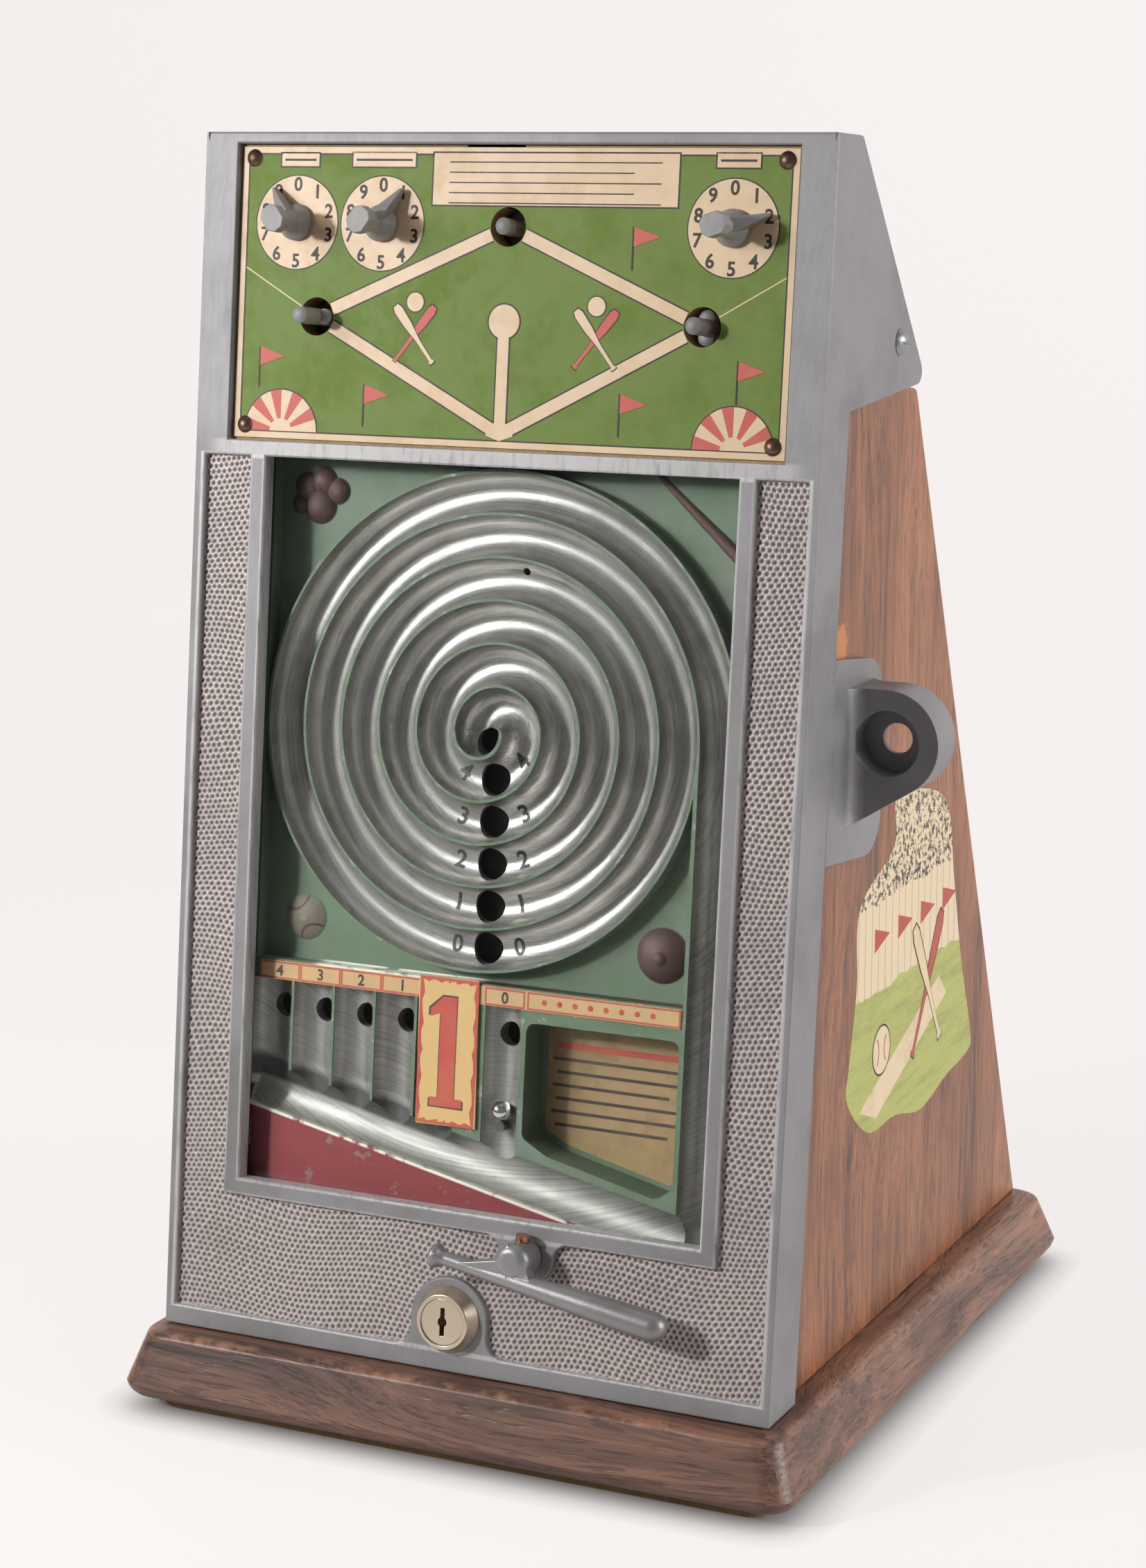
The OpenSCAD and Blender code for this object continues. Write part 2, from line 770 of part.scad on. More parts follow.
module face_plate() {
    difference() {
        slab(0, face_t) translate([-half_w, 0]) square([casting_w, face_h]);
        slab(-1, recess) difference() {
            translate([-half_w + rim, foot_rim]) square([casting_w - 2 * rim, window_top - foot_rim]);
            frame2d(window_w, window_foot, window_top, bead);
            lock_boss2d();
            bat_boss2d();
        }
        slab(-1, face_t + 1) frame2d(window_w, window_foot, window_top, 0);
        slab(-1, face_t + 1) frame2d(score_w, score_foot, score_top, 0);
        slab(wall, face_t + 1) translate([-board_half - 0.5, board_foot - 0.5])
            square([2 * board_half + 1, face_h - board_foot + 1]);
    }
    for (s = [-1, 1]) translate([s > 0 ? half_w - flange_t : -half_w, 0, 0]) cube([flange_t, flange_d, face_h]);
    for (s = [-1, 1], v = field_screw_vs) stud(s * field_screw_u, v, face_t - 0.5, glass_back, boss_r);
}

module cheek2d() {
    zj = hinge[1] - cheek_front;
    j = [face_y(flange_d, zj), zj];
    polygon(concat(
        [[face_y(1, zj), zj], j],
        corner(j, cheek_corner, hood_rear, 4, 6),
        corner(cheek_corner, hood_rear, [top_y, top_z], 2, 4),
        [[top_y, top_z]]
    ));
}

module hood() {
    for (s = [-1, 1]) side_plate(s > 0 ? half_w - flange_t : -half_w, s > 0 ? half_w : flange_t - half_w) cheek2d();
    side_plate(-half_w + 1, half_w - 1) polygon([
        [top_y, top_z],
        hood_rear + [-1, 0],
        hood_rear + [-1, -3.5],
        [top_y - 3.5 * tan(lean), top_z - 3.5]
    ]);
    side_plate(-half_w + 1, half_w - 1) polygon([
        hood_rear + [-2, -0.2],
        hood_rear + cheek_t * 1.5,
        hood_rear + cheek_t * hood_wide,
        hood_rear + cheek_t * hood_wide - cheek_n * hood_wall,
        hood_rear - cheek_n * hood_wall + [-1.5, 0]
    ]);
    side_plate(-inner_x + 0.8, inner_x - 0.8) polygon([
        hood_rear + cheek_t * (hood_wide - 1),
        hood_rear + cheek_t * hood_long,
        hood_rear + cheek_t * hood_long - cheek_n * hood_wall,
        hood_rear + cheek_t * (hood_wide - 1) - cheek_n * hood_wall
    ]);
}

module front_casting() {
    color("silver") difference() {
        union() {
            face() face_plate();
            cab() hood();
        }
        face() {
            stud(lock_u, lock_v, -1, face_t + 1, lock_barrel_r + snug);
            stud(hub_u, hub_v, -1, face_t + 1, bush_r + snug);
            for (s = [-1, 1], v = field_screw_vs) stud(s * field_screw_u, v, face_t - 1, glass_back + 1, field_screw_r + snug);
            for (s = [-1, 1], v = [score_foot + 10, score_top - 10])
                stud(s * (board_half - 3), v, wall - 2, wall + 1, screw_r + snug);
        }
        cab() {
            cross_rod(-half_w - 1, -half_w + flange_t + 1, hinge, pin_r + running);
            cross_rod(half_w - flange_t - 1, half_w + 1, hinge, pin_r + running);
            translate([-half_w - 1, -40, -40]) cube([casting_w + 2, 120, 40 + foot_gap]);
            translate([-coin_slot_w / 2, top_y + 1.2, top_z - 12]) cube([coin_slot_w, coin_slot_l, 20]);
        }
    }
}

module window_glass() {
    color([0.8, 0.9, 0.9, 0.3]) face() slab(face_t, glass_back)
        frame2d(window_w, window_foot, window_top, glass_lap);
}

module glass_clips() {
    color("gray") face() for (s = [-1, 1], v = field_screw_vs) difference() {
        slab(glass_back, glass_back + clip_t) translate([s * (field_screw_u - 0.4), v]) square([9, 8], center = true);
        stud(s * field_screw_u, v, glass_back - 1, glass_back + clip_t + 1, field_screw_r + snug);
    }
}

module field_spacers() {
    color("gray") face() for (s = [-1, 1], v = field_screw_vs) difference() {
        stud(s * field_screw_u, v, glass_back + clip_t, field_depth, boss_r);
        stud(s * field_screw_u, v, glass_back, field_depth + 1, field_screw_r + snug);
    }
}

module field_screws() {
    color("gray") face() for (s = [-1, 1], v = field_screw_vs) {
        stud(s * field_screw_u, v, face_t, field_rear + 0.5, field_screw_r);
        translate([s * field_screw_u, field_rear, v]) rotate([-90, 0, 0]) dome(3.6, 2.4);
    }
}

// Score board
module base_places() {
    translate([-base_out, 0, outer_base_v]) children();
    translate([0, 0, mid_base_v]) children();
    translate([base_out, 0, outer_base_v]) children();
}

module knob_places() {
    for (u = [-dial_out, -dial_in, dial_out]) translate([u, 0, dial_v]) children();
}

module score_board() {
    color("burlywood") face() difference() {
        slab(wall, board_rear) translate([-board_half, board_foot]) square([2 * board_half, board_top - board_foot]);
        base_places() stud(0, 0, wall - 1, board_rear + 1, base_hole_r);
        knob_places() stud(0, 0, wall - 1, board_rear + 1, spindle_r + running);
        slab(wall - 1, board_rear + 1) translate([chute_u - chute_half - 0.5, mouth_v - 7])
            square([5 - chute_u + chute_half, 30]);
        slab(wall - 1, board_rear + 1) translate([chute_u - chute_half - 0.5, mid_base_v - 19])
            square([2 * chute_half + 1, 40]);
        for (s = [-1, 1], v = [score_foot + 10, score_top - 10])
            stud(s * (board_half - 3), v, wall - 1, board_rear + 1, screw_r + snug);
        nail_places() stud(0, 0, wall - 1, wall + 6, 0.8 + snug);
    }
}

module nail_places() {
    for (s = [-1, 1], v = [score_foot + nail_in, score_top - nail_in + 0.5])
        translate([s * (score_w / 2 - nail_in), 0, v]) children();
}

module score_plate() {
    color("olivedrab") face() difference() {
        slab(plate_front, wall) frame2d(score_w, score_foot, score_top, -plate_gap / 2);
        base_places() stud(0, 0, plate_front - 1, wall + 1, base_hole_r);
        knob_places() stud(0, 0, plate_front - 1, wall + 1, spindle_r + 0.3);
        nail_places() stud(0, 0, plate_front - 1, wall + 1, 0.8 + snug);
    }
}

module plate_nails() {
    color("silver") face() nail_places() {
        stud(0, 0, plate_front - 0.5, wall + 5.5, 0.8);
        translate([0, plate_front, 0]) rotate([90, 0, 0]) dome(nail_head_r, 1.8);
    }
}

module board_screws() {
    color("gray") face() for (s = [-1, 1], v = [score_foot + 10, score_top - 10]) {
        stud(s * (board_half - 3), v, wall - 1.8, board_rear + 0.4, screw_r);
        translate([s * (board_half - 3), board_rear, v]) rotate([-90, 0, 0]) dome(2.8, 1.6);
    }
}

module knob(u, turn) {
    color("dimgray") face() translate([u, 0, dial_v]) rotate([0, turn, 0]) {
        stud(0, 0, plate_front - 2, board_rear + collar_h, spindle_r);
        translate([0, plate_front - 0.3, 0]) rotate([90, 0, 0]) rotate_extrude() polygon([
            [0, 0],
            [knob_r, 0],
            [knob_r, 1.6],
            [knob_r - 0.8, 2.6],
            [knob_r - 2.4, 5],
            [knob_r - 2.8, knob_h - 5],
            [knob_r - 2.4, knob_h - 4],
            [0, knob_h - 4]
        ]);
        slab(plate_front - knob_h, plate_front - knob_h + 4.2) polygon([
            [-cap_w / 2, -cap_l / 2 + 2],
            [-cap_w / 2 + 2, -cap_l / 2],
            [cap_w / 2 - 2, -cap_l / 2],
            [cap_w / 2, -cap_l / 2 + 2],
            [cap_w / 2, cap_l / 2 - 2],
            [cap_w / 2 - 2, cap_l / 2],
            [-cap_w / 2 + 2, cap_l / 2],
            [-cap_w / 2, cap_l / 2 - 2]
        ]);
        hull() {
            slab(plate_front - pointer_h, plate_front - 0.6) translate([-pointer_w / 2, 1]) square([pointer_w, 1]);
            slab(plate_front - 3, plate_front - 0.8) translate([-0.5, pointer_l - 0.8]) square([1, 0.8]);
        }
    }
}

module left_knob() {
    knob(-dial_out, left_turn);
}

module middle_knob() {
    knob(-dial_in, mid_turn);
}

module right_knob() {
    knob(dial_out, right_turn);
}

module collar(u) {
    color("gray") face() difference() {
        stud(u, dial_v, board_rear + 0.2, board_rear + collar_h, collar_r);
        stud(u, dial_v, board_rear - 1, board_rear + collar_h + 1, spindle_r + snug);
    }
}

module left_collar() {
    collar(-dial_out);
}

module middle_collar() {
    collar(-dial_in);
}

module right_collar() {
    collar(dial_out);
}

module peg(u, v, shift, turn) {
    color("darkgray") face() translate([u, shift, v]) rotate([0, turn, 0]) {
        stud(0, 0, peg_out + 1, peg_rear, peg_r);
        translate([0, peg_out + 1, 0]) rotate([90, 0, 0]) dome(peg_r, 1);
        for (s = [-1, 1]) {
            stud(s * lobe_out, 0, lobe_front, lobe_front + 2 * lobe_r, lobe_r);
            translate([s * lobe_out, lobe_front, 0]) rotate([90, 0, 0]) dome(lobe_r, 1);
        }
    }
}

module third_peg() {
    peg(-base_out, outer_base_v, 0, 0);
}

module second_peg() {
    peg(0, mid_base_v, peg_travel, 0);
}

module first_peg() {
    peg(base_out, outer_base_v, peg_travel / 2, 90);
}

module peg_guides() {
    color("gray") face() base_places() difference() {
        slab(board_rear, guide_rear) square(2 * guide_half, center = true);
        stud(0, 0, board_rear - 1, guide_bore, base_hole_r);
        stud(0, 0, guide_bore - 1, guide_rear + 1, peg_r + running);
    }
}

// Playfield
module groove2d() {
    circle(r = groove_r);
    translate([-groove_r, 0]) square([2 * groove_r, groove_d]);
}

module half_groove(cu, radius, upper, sweep) {
    translate([cu, groove_c, spiral_v]) rotate([90, 0, 0]) rotate([0, 0, upper ? 180 - sweep : 180])
        rotate_extrude(angle = sweep) translate([radius, 0]) groove2d();
}

module spiral_cut() {
    for (k = [0:4]) {
        half_groove(spiral_u, upper_0 + (k + 0.5) * pitch, true, 180);
        half_groove(spiral_u - lower_shift, upper_0 + k * pitch, false, 180);
    }
    half_groove(spiral_u, upper_0 - lower_shift, true, 180);
    translate([spiral_u - lower_shift, field_depth + cup_d - cup_ball_r, spiral_v]) sphere(r = cup_ball_r);
    for (k = [0:4]) stud(hole_u, spiral_v - upper_0 - k * pitch, field_depth, field_rear + 1, spiral_hole_r);
    stud(spiral_u - lower_shift + 1.1, spiral_v - 3, field_depth, field_rear + 1, cup_hole_r);
    stud(spiral_u + 4.3, spiral_v + 50.9, field_depth, field_rear + 1, pin_hole_r);
}

module lane_cut() {
    translate([lane_u, groove_c, lane_foot]) rotate([0, 0, 180]) linear_extrude(spiral_v - lane_foot) groove2d();
    half_groove(spiral_u, lane_u - spiral_u, true, 180);
}

module channel_cut() {
    for (k = [0:channel_n - 1]) {
        u = channel_u + k * channel_pitch;
        foot = ramp_at(u);
        translate([u, field_depth - channel_rise, foot]) cylinder(h = channel_top - foot, r = channel_r);
        stud(u + 2.2, channel_hole_v, field_depth, field_rear + 1, channel_hole_r);
    }
    translate([out_u, field_depth - channel_rise, ramp_at(out_u)]) cylinder(h = channel_top - ramp_at(out_u), r = out_r);
    stud(out_u + 1, channel_hole_v, field_depth, field_rear + 1, channel_hole_r);
    translate([-82, field_depth - 1.6, ramp_at(-82)]) rotate([0, 90 + ramp_tilt, 0])
        cylinder(h = (lane_u + 82) / cos(ramp_tilt), r = ramp_r);
}

module sunk_cut() {
    // Corners of the field outside the rim of the spiral
    foot = channel_top + label_h + sunk_edge;
    rim_u = spiral_u - lower_shift;
    slab(field_depth - 1, field_depth + sunk_d) difference() {
        union() {
            translate([-glass_half, foot]) square([glass_half + lane_left - crest, spiral_v - foot]);
            translate([-glass_half, spiral_v]) square([2 * glass_half, window_top + 0.5 - spiral_v]);
        }
        translate([rim_u, spiral_v]) circle(r = upper_0 + 4 * pitch + rim_r);
        intersection() {
            translate([spiral_u, spiral_v]) circle(r = lane_u - spiral_u + rim_r);
            translate([-glass_half - 1, spiral_v]) square([2 * glass_half + 2, window_top - spiral_v + 2]);
        }
    }
}

module relief(u, v, r, h) {
    translate([u, field_depth + sunk_d + relief_foot, v]) rotate([90, 0, 0]) dome(r, h + relief_foot);
}

module field_reliefs() {
    // Ball, cap with its button, bat and glove, one in each corner
    relief(0.7 - relief_u, relief_low + 1, 8.2, 2.4);
    translate([relief_u - 11.3, 0, relief_low + 1.6]) {
        relief(0, 0, 9.2, 4.6);
        relief(0.5, -0.5, 1.6, 5.4);
    }
    translate([relief_u - 20.6, field_depth + sunk_d + 0.5, window_top]) rotate([0, 130.5, 0])
        cylinder(h = 37, r1 = 1.2, r2 = 2.3);
    translate([1.2 - relief_u, 0, relief_top]) {
        relief(-6, 3, 5, 2.6);
        relief(0, 5, 5, 2.8);
        relief(5.2, 2, 4.6, 2.5);
        relief(-1, -3, 6.2, 3.2);
        relief(-8, -2.5, 3.6, 2.2);
    }
}

module playfield() {
    color("lightslategray") face() difference() {
        union() {
            difference() {
                slab(field_depth, field_rear) translate([-field_half, field_foot])
                    square([2 * field_half, field_top - field_foot]);
                sunk_cut();
            }
            slab(field_depth, field_rear) translate([60, 36]) square([26, field_foot - 35]);
            slab(field_rear - 1, tray_rear) polygon([[13, 115], [13, 72], [62, 60], [70, 60], [70, 115]]);
            field_reliefs();
            stud(spring_u, post_v, tray_rear - 1, tray_rear + 9, post_r);
        }
        spiral_cut();
        lane_cut();
        channel_cut();
        slab(field_depth - 1, field_depth + pocket_d) polygon(round_off(pocket_pts, 3));
        slab(field_depth - 1, field_rear + 1) translate([lane_u - 5, 35]) square([10, lane_foot - 34.2]);
        for (s = [-1, 1], v = field_screw_vs)
            stud(s * field_screw_u, v, field_depth - 1, field_rear + 1, field_screw_r + snug);
        stud(gate_u, gate_v, field_depth, field_rear + 1, gate_r + running);
    }
}

module return_cover() {
    color("gray") face() {
        slab(cover_front, cover_rear) translate([-field_half + cover_in, cover_foot])
            square([field_half + cover_edge, cover_h]);
        slab(field_rear, cover_front + 0.5) translate([-field_half + cover_in, cover_foot]) square([2, cover_h]);
        for (k = [0:channel_n - 1]) {
            u0 = channel_u + (k + 0.5) * channel_pitch;
            v0 = channel_top + 4;
            u1 = -10;
            v1 = spiral_v - upper_0 - (k + 0.5) * pitch;
            translate([u0, field_rear, v0]) rotate([0, -atan2(v1 - v0, u1 - u0), 0])
                translate([0, 0, -0.75]) cube([norm([u1 - u0, v1 - v0]), cover_front - field_rear + 0.5, 1.5]);
            translate([u0 - 0.75, field_rear, cover_foot])
                cube([1.5, cover_front - field_rear + 0.5, v0 - cover_foot]);
        }
        translate([cover_edge + 1, field_rear, cover_foot]) cube([1.5, cover_front - field_rear + 0.5, cover_h]);
        for (v = [chute_foot + 1, chute_foot + 85])
            slab(cover_rear - 0.5, chute_front) translate([chute_u - chute_half, v]) square([2 * chute_half, 8]);
    }
}

module label_strip() {
    color("khaki") face() slab(field_depth - 0.4, field_depth) translate([label_u, channel_top])
        square([label_w, label_h]);
}

module price_card() {
    color("gold") face() slab(field_depth - 1, field_depth - 0.4) translate([card_u, card_v]) rotate(1)
        square([card_w, card_h], center = true);
}

module instruction_card() {
    card_d = field_depth + pocket_d;
    p = pocket_pts;
    g = slip_gap;
    color("khaki") face() slab(card_d - 0.4, card_d) polygon([
        p[0] + [g, -g],
        p[1] + [g, 0.6 * g],
        p[2] + [0.5 * g, g],
        p[3] + [-0.5 * g, g],
        p[4] + [-g, g],
        p[5] + [-g, -g]
    ]);
}

module ball() {
    color("white") face() translate([out_u, ball_depth, ball_v]) sphere(d = ball_d);
}

module ball_gate() {
    color("goldenrod") face() {
        stud(gate_u, gate_v, gate_front, gate_plate + 1, gate_r);
        slab(gate_plate, gate_plate + 1.5) translate([-4, gate_v - 5]) square([15, 27]);
        slab(gate_plate, cover_rear) translate([-4, gate_v + 12]) square([8, 2]);
    }
}

// Coin passage behind the score board
module chute2d(e, over) {
    polygon([
        [mouth_d + e, mouth_v + over],
        [mouth_d + e, mouth_v],
        [board_rear + 1.4 + e, mid_base_v - 14],
        [chute_front + e, board_foot + 8],
        [chute_front + e, chute_foot - over],
        [chute_rear - e, chute_foot - over],
        [chute_rear - e, board_foot + 22],
        [hood_d + 15 - e, mouth_v - 21],
        [hood_d + 4 - e, mouth_v],
        [hood_d + 4 - e, mouth_v + over]
    ]);
}

module coin_chute() {
    ramp_l = 19;
    color("gray") face() {
        difference() {
            side_plate(chute_u - chute_half, chute_u + chute_half) chute2d(0, 0.01);
            side_plate(chute_u - coin_gap / 2, chute_u + coin_gap / 2) chute2d(fine, 1);
        }
        translate([chute_u + chute_half - 0.8, mouth_d, mouth_v - 5]) rotate([0, -45, 0])
            cube([ramp_l, hood_d - mouth_d + 1, fine]);
        translate([chute_u - chute_half, mouth_d, mouth_v - 1]) cube([fine, hood_d - mouth_d + 1, 10]);
    }
}

// Bat and kicker
module bat_frame() {
    face() translate([hub_u, 0, hub_v]) rotate([0, bat_tilt, 0]) children();
}

function bat_radius(x) =
    x < -bat_back + 5 ? handle_r + (bat_knob_r - handle_r) * (1 - smooth((x + bat_back - 2) / 3)) :
    handle_r + (barrel_r - handle_r) * smooth((x + bat_back - 5) / (bat_reach + bat_back - 11));

function bat_profile() = concat(
    [[0, -bat_back], [bat_knob_r * 0.6, -bat_back], [bat_knob_r * 0.92, -bat_back + 0.8], [bat_knob_r, -bat_back + 2]],
    [for (i = [1:4]) [bat_radius(-bat_back + 2 + i * 0.75), -bat_back + 2 + i * 0.75]],
    [for (i = [1:14]) let (x = -bat_back + 5 + i * (bat_reach + bat_back - 11) / 14) [bat_radius(x), x]],
    [for (i = [0:8]) [barrel_r * cos(i * 11.25), bat_reach - 5 + 5 * sin(i * 11.25)]]
);

function hub_profile() = concat(
    [[0, hub_gap], [hub_r, hub_gap]],
    [for (i = [0:6]) [hub_r - hub_round + hub_round * cos(i * 15), -hub_front - hub_round + hub_round * sin(i * 15)]],
    [[0, -hub_front]]
);

module bat() {
    color("darkgray") difference() {
        bat_frame() {
            translate([0, -bat_stand, -bat_drop]) rotate([0, 90, 0]) rotate_extrude() polygon(bat_profile());
            rotate([90, 0, 0]) rotate_extrude() polygon(hub_profile());
            slab(-bat_stand - 2.2, -bat_stand + 2.2) polygon([
                [-20, -bat_drop],
                [-hub_r + 0.6, -1],
                [-2, hub_r - 0.6],
                [hub_r - 0.5, -0.6],
                [hub_r + 3, -bat_drop]
            ]);
        }
        face() stud(hub_u, hub_v, -bat_stand + 2.6, 1, shaft_r + snug);
        bat_frame() translate([0, -bat_stand + 4.4, hub_r - 3]) cylinder(h = 5, r = 1.5 + snug);
    }
}

module hub_screw() {
    color("peru") bat_frame() translate([0, -bat_stand + 4.4, hub_r - 2.8]) {
        cylinder(h = 4, r = 1.5);
        translate([0, 0, 2.8]) cylinder(h = 1.7, r = 2.3);
    }
}

module bat_shaft() {
    color("silver") face() stud(hub_u, hub_v, -bat_stand + 2.8, arm_rear + 1.5, shaft_r);
}

module bat_bush() {
    color("goldenrod") face() difference() {
        stud(hub_u, hub_v, 0.2, bush_rear, bush_r);
        stud(hub_u, hub_v, -1, bush_rear + 1, shaft_r + running);
    }
}

module kicker_arm() {
    color("gray") face() translate([hub_u, 0, hub_v]) difference() {
        union() {
            stud(0, 0, arm_front - 3, arm_rear, arm_hub_r);
            slab(arm_front, arm_rear) translate([0, -arm_w / 2]) square([kicker_reach + 3, arm_w]);
            stud(kicker_reach, -1.5, field_depth + 1, arm_front + 1, finger_r);
            stud(spring_u - hub_u, arm_pin_v - hub_v, arm_front + 1, spring_d + 4, post_r);
        }
        stud(0, 0, arm_front - 4, arm_rear + 1, shaft_r + snug);
    }
}

function coil_point(t) = [
    spring_coil_r * cos(360 * spring_turns * t),
    spring_coil_r * sin(360 * spring_turns * t),
    spring_wire_r + 0.1 + (spring_len - 2 * spring_wire_r - 0.2) * t
];

function coil_ring(t, sides) =
    let (a = 360 * spring_turns * t)
    let (out = [cos(a), sin(a), 0])
    [for (j = [0:sides - 1]) coil_point(t) + spring_wire_r * (cos(360 * j / sides) * out + sin(360 * j / sides) * [0, 0, 1])];

module return_spring() {
    sides = 6;
    rings = spring_turns * 8;
    pts = [for (i = [0:rings]) each coil_ring(i / rings, sides)];
    lower = [for (i = [0:rings - 1], j = [0:sides - 1])
        [i * sides + j, i * sides + (j + 1) % sides, (i + 1) * sides + j]];
    upper = [for (i = [0:rings - 1], j = [0:sides - 1])
        [i * sides + (j + 1) % sides, (i + 1) * sides + (j + 1) % sides, (i + 1) * sides + j]];
    first = [for (j = [sides - 1:-1:0]) j];
    last = [for (j = [0:sides - 1]) rings * sides + j];
    color("silver") face() translate([spring_u, spring_d, spring_foot])
        polyhedron(points = pts, faces = concat(lower, upper, [first, last]), convexity = 8);
}

// Lock
module lock_body() {
    color("silver") face() difference() {
        union() {
            stud(lock_u, lock_v, -0.5, lock_rear, lock_barrel_r);
            translate([lock_u, 0, lock_v]) rotate([90, 0, 0])
                cylinder(h = lock_ring_h, r1 = lock_ring_r, r2 = lock_ring_r - 2.2);
        }
        stud(lock_u, lock_v, -lock_ring_h - 1, lock_rear + 1, lock_plug_r + running);
    }
}

module lock_nut() {
    color("gray") face() difference() {
        translate([lock_u, face_t + nut_t, lock_v]) rotate([90, 0, 0]) cylinder(h = nut_t, r = nut_r, $fn = 6);
        stud(lock_u, lock_v, face_t - 1, face_t + nut_t + 1, lock_barrel_r + snug);
    }
}

module lock_plug() {
    color("gray") face() difference() {
        union() {
            stud(lock_u, lock_v, -lock_ring_h + 0.4, lock_rear + 0.3, lock_plug_r);
            stud(lock_u, lock_v, lock_rear, cam_front + cam_t + 0.5, tail_r);
        }
        translate([lock_u - key_w / 2, -lock_ring_h - 1, lock_v - key_h / 2]) cube([key_w, key_d, key_h]);
        stud(lock_u, lock_v, -lock_ring_h - 1, key_d - lock_ring_h - 1, key_w);
    }
}

module lock_cam() {
    color("gray") face() difference() {
        slab(cam_front, cam_front + cam_t) translate([lock_u, lock_v]) union() {
            circle(r = 6.5);
            translate([0, -cam_w / 2]) square([cam_reach, cam_w]);
        }
        stud(lock_u, lock_v, cam_front - 1, cam_front + cam_t + 1, tail_r + snug);
    }
}

base_moulding();
bottom_board();
left_side();
right_side();
back_panel();
back_cleats();
back_screws();
base_screws();
hinge_rail();
hinge_pins();
cash_box();
lock_keeper();
anchor_lug();
lug_screws();
front_casting();
window_glass();
glass_clips();
field_spacers();
field_screws();
score_board();
score_plate();
plate_nails();
board_screws();
left_knob();
middle_knob();
right_knob();
left_collar();
middle_collar();
right_collar();
third_peg();
second_peg();
first_peg();
peg_guides();
playfield();
return_cover();
label_strip();
price_card();
instruction_card();
ball();
ball_gate();
coin_chute();
bat();
hub_screw();
bat_shaft();
bat_bush();
kicker_arm();
return_spring();
lock_body();
lock_nut();
lock_plug();
lock_cam();
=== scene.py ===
import json
import math
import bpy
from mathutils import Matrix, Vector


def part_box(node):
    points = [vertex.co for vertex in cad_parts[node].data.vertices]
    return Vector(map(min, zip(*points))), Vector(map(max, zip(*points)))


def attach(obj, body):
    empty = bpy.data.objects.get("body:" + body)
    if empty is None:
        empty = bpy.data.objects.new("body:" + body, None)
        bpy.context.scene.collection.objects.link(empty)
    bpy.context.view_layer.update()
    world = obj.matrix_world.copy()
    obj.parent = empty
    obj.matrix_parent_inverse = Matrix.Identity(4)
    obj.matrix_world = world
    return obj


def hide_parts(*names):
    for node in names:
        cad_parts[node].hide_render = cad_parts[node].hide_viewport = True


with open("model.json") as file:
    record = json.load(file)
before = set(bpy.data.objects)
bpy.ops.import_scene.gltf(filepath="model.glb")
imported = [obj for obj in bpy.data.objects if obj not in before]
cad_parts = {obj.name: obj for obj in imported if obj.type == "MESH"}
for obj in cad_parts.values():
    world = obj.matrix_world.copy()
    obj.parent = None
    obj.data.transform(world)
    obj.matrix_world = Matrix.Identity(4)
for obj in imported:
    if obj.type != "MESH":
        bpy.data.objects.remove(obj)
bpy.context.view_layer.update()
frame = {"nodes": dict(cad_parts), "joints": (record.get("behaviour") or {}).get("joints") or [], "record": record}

from types import SimpleNamespace

import bmesh
import bpy
import numpy as np
from bpy.props import FloatProperty, FloatVectorProperty, PointerProperty
from mathutils import Matrix, Vector
from mathutils.bvhtree import BVHTree

bl_info = {
    "name": "Counter Baseball Game",
    "version": (1, 0, 0),
    "blender": (4, 5, 0),
    "location": "View3D > Sidebar > Baseball Game",
    "description": "Rounded castings, grained panels, prints and finishes of a counter top baseball game",
    "category": "Object",
}

# The frame: box of the construction, and the leaning face that most pieces sit on
MM = 0.001
NODES = frame["nodes"]
JOINTS = {joint["name"]: joint for joint in frame["joints"]}
BODY_OF = {node: body for body, nodes in frame["record"]["behaviour"]["bodies"].items() for node in nodes}
FACE_NORMAL = Vector(JOINTS["left_dial_turn"]["axis"])
LEAN = math.atan2(FACE_NORMAL.z, -FACE_NORMAL.y)
BASE_LOW, BASE_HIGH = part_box("base_moulding")
LOCK_POINT = Vector(JOINTS["lock_turn"]["pos_m"])
FACE_FOOT = LOCK_POINT.y - (LOCK_POINT.z - BASE_HIGH.z) * math.tan(LEAN)
FACE = Matrix.Translation((0, FACE_FOOT, BASE_HIGH.z)) @ Matrix.Rotation(-LEAN, 4, "X")
FACE_BACK = FACE.inverted()


def on_face(u, v, depth):
    """The point at u across, v up and depth behind the casting's face, all in millimetres."""
    return FACE @ Vector((u * MM, depth * MM, v * MM))


def face_place(point):
    """Across, depth and height on the leaning face of a point of the frame, in millimetres."""
    return FACE_BACK @ Vector(point) / MM


def face_box(node):
    """Lowest and highest across, depth and height of a node on the leaning face, in millimetres."""
    points = [face_place(vertex.co) for vertex in NODES[node].data.vertices]
    low = Vector([min(point[axis] for point in points) for axis in range(3)])
    high = Vector([max(point[axis] for point in points) for axis in range(3)])
    return low, high


PLATE_LOW, PLATE_HIGH = face_box("score_plate")
GLASS_LOW, GLASS_HIGH = face_box("window_glass")
LABEL_LOW, LABEL_HIGH = face_box("label_strip")
CARD_LOW, CARD_HIGH = face_box("price_card")
SLIP_LOW, SLIP_HIGH = face_box("instruction_card")
CASTING_LOW, CASTING_HIGH = face_box("front_casting")
DIALS = [face_place(JOINTS[name + "_dial_turn"]["pos_m"]) for name in ("left", "middle", "right")]
BASES = [sum(face_box(node), Vector()) / 2 for node in ("third_peg", "second_peg", "first_peg")]
WOOD_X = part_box("right_side")[1].x


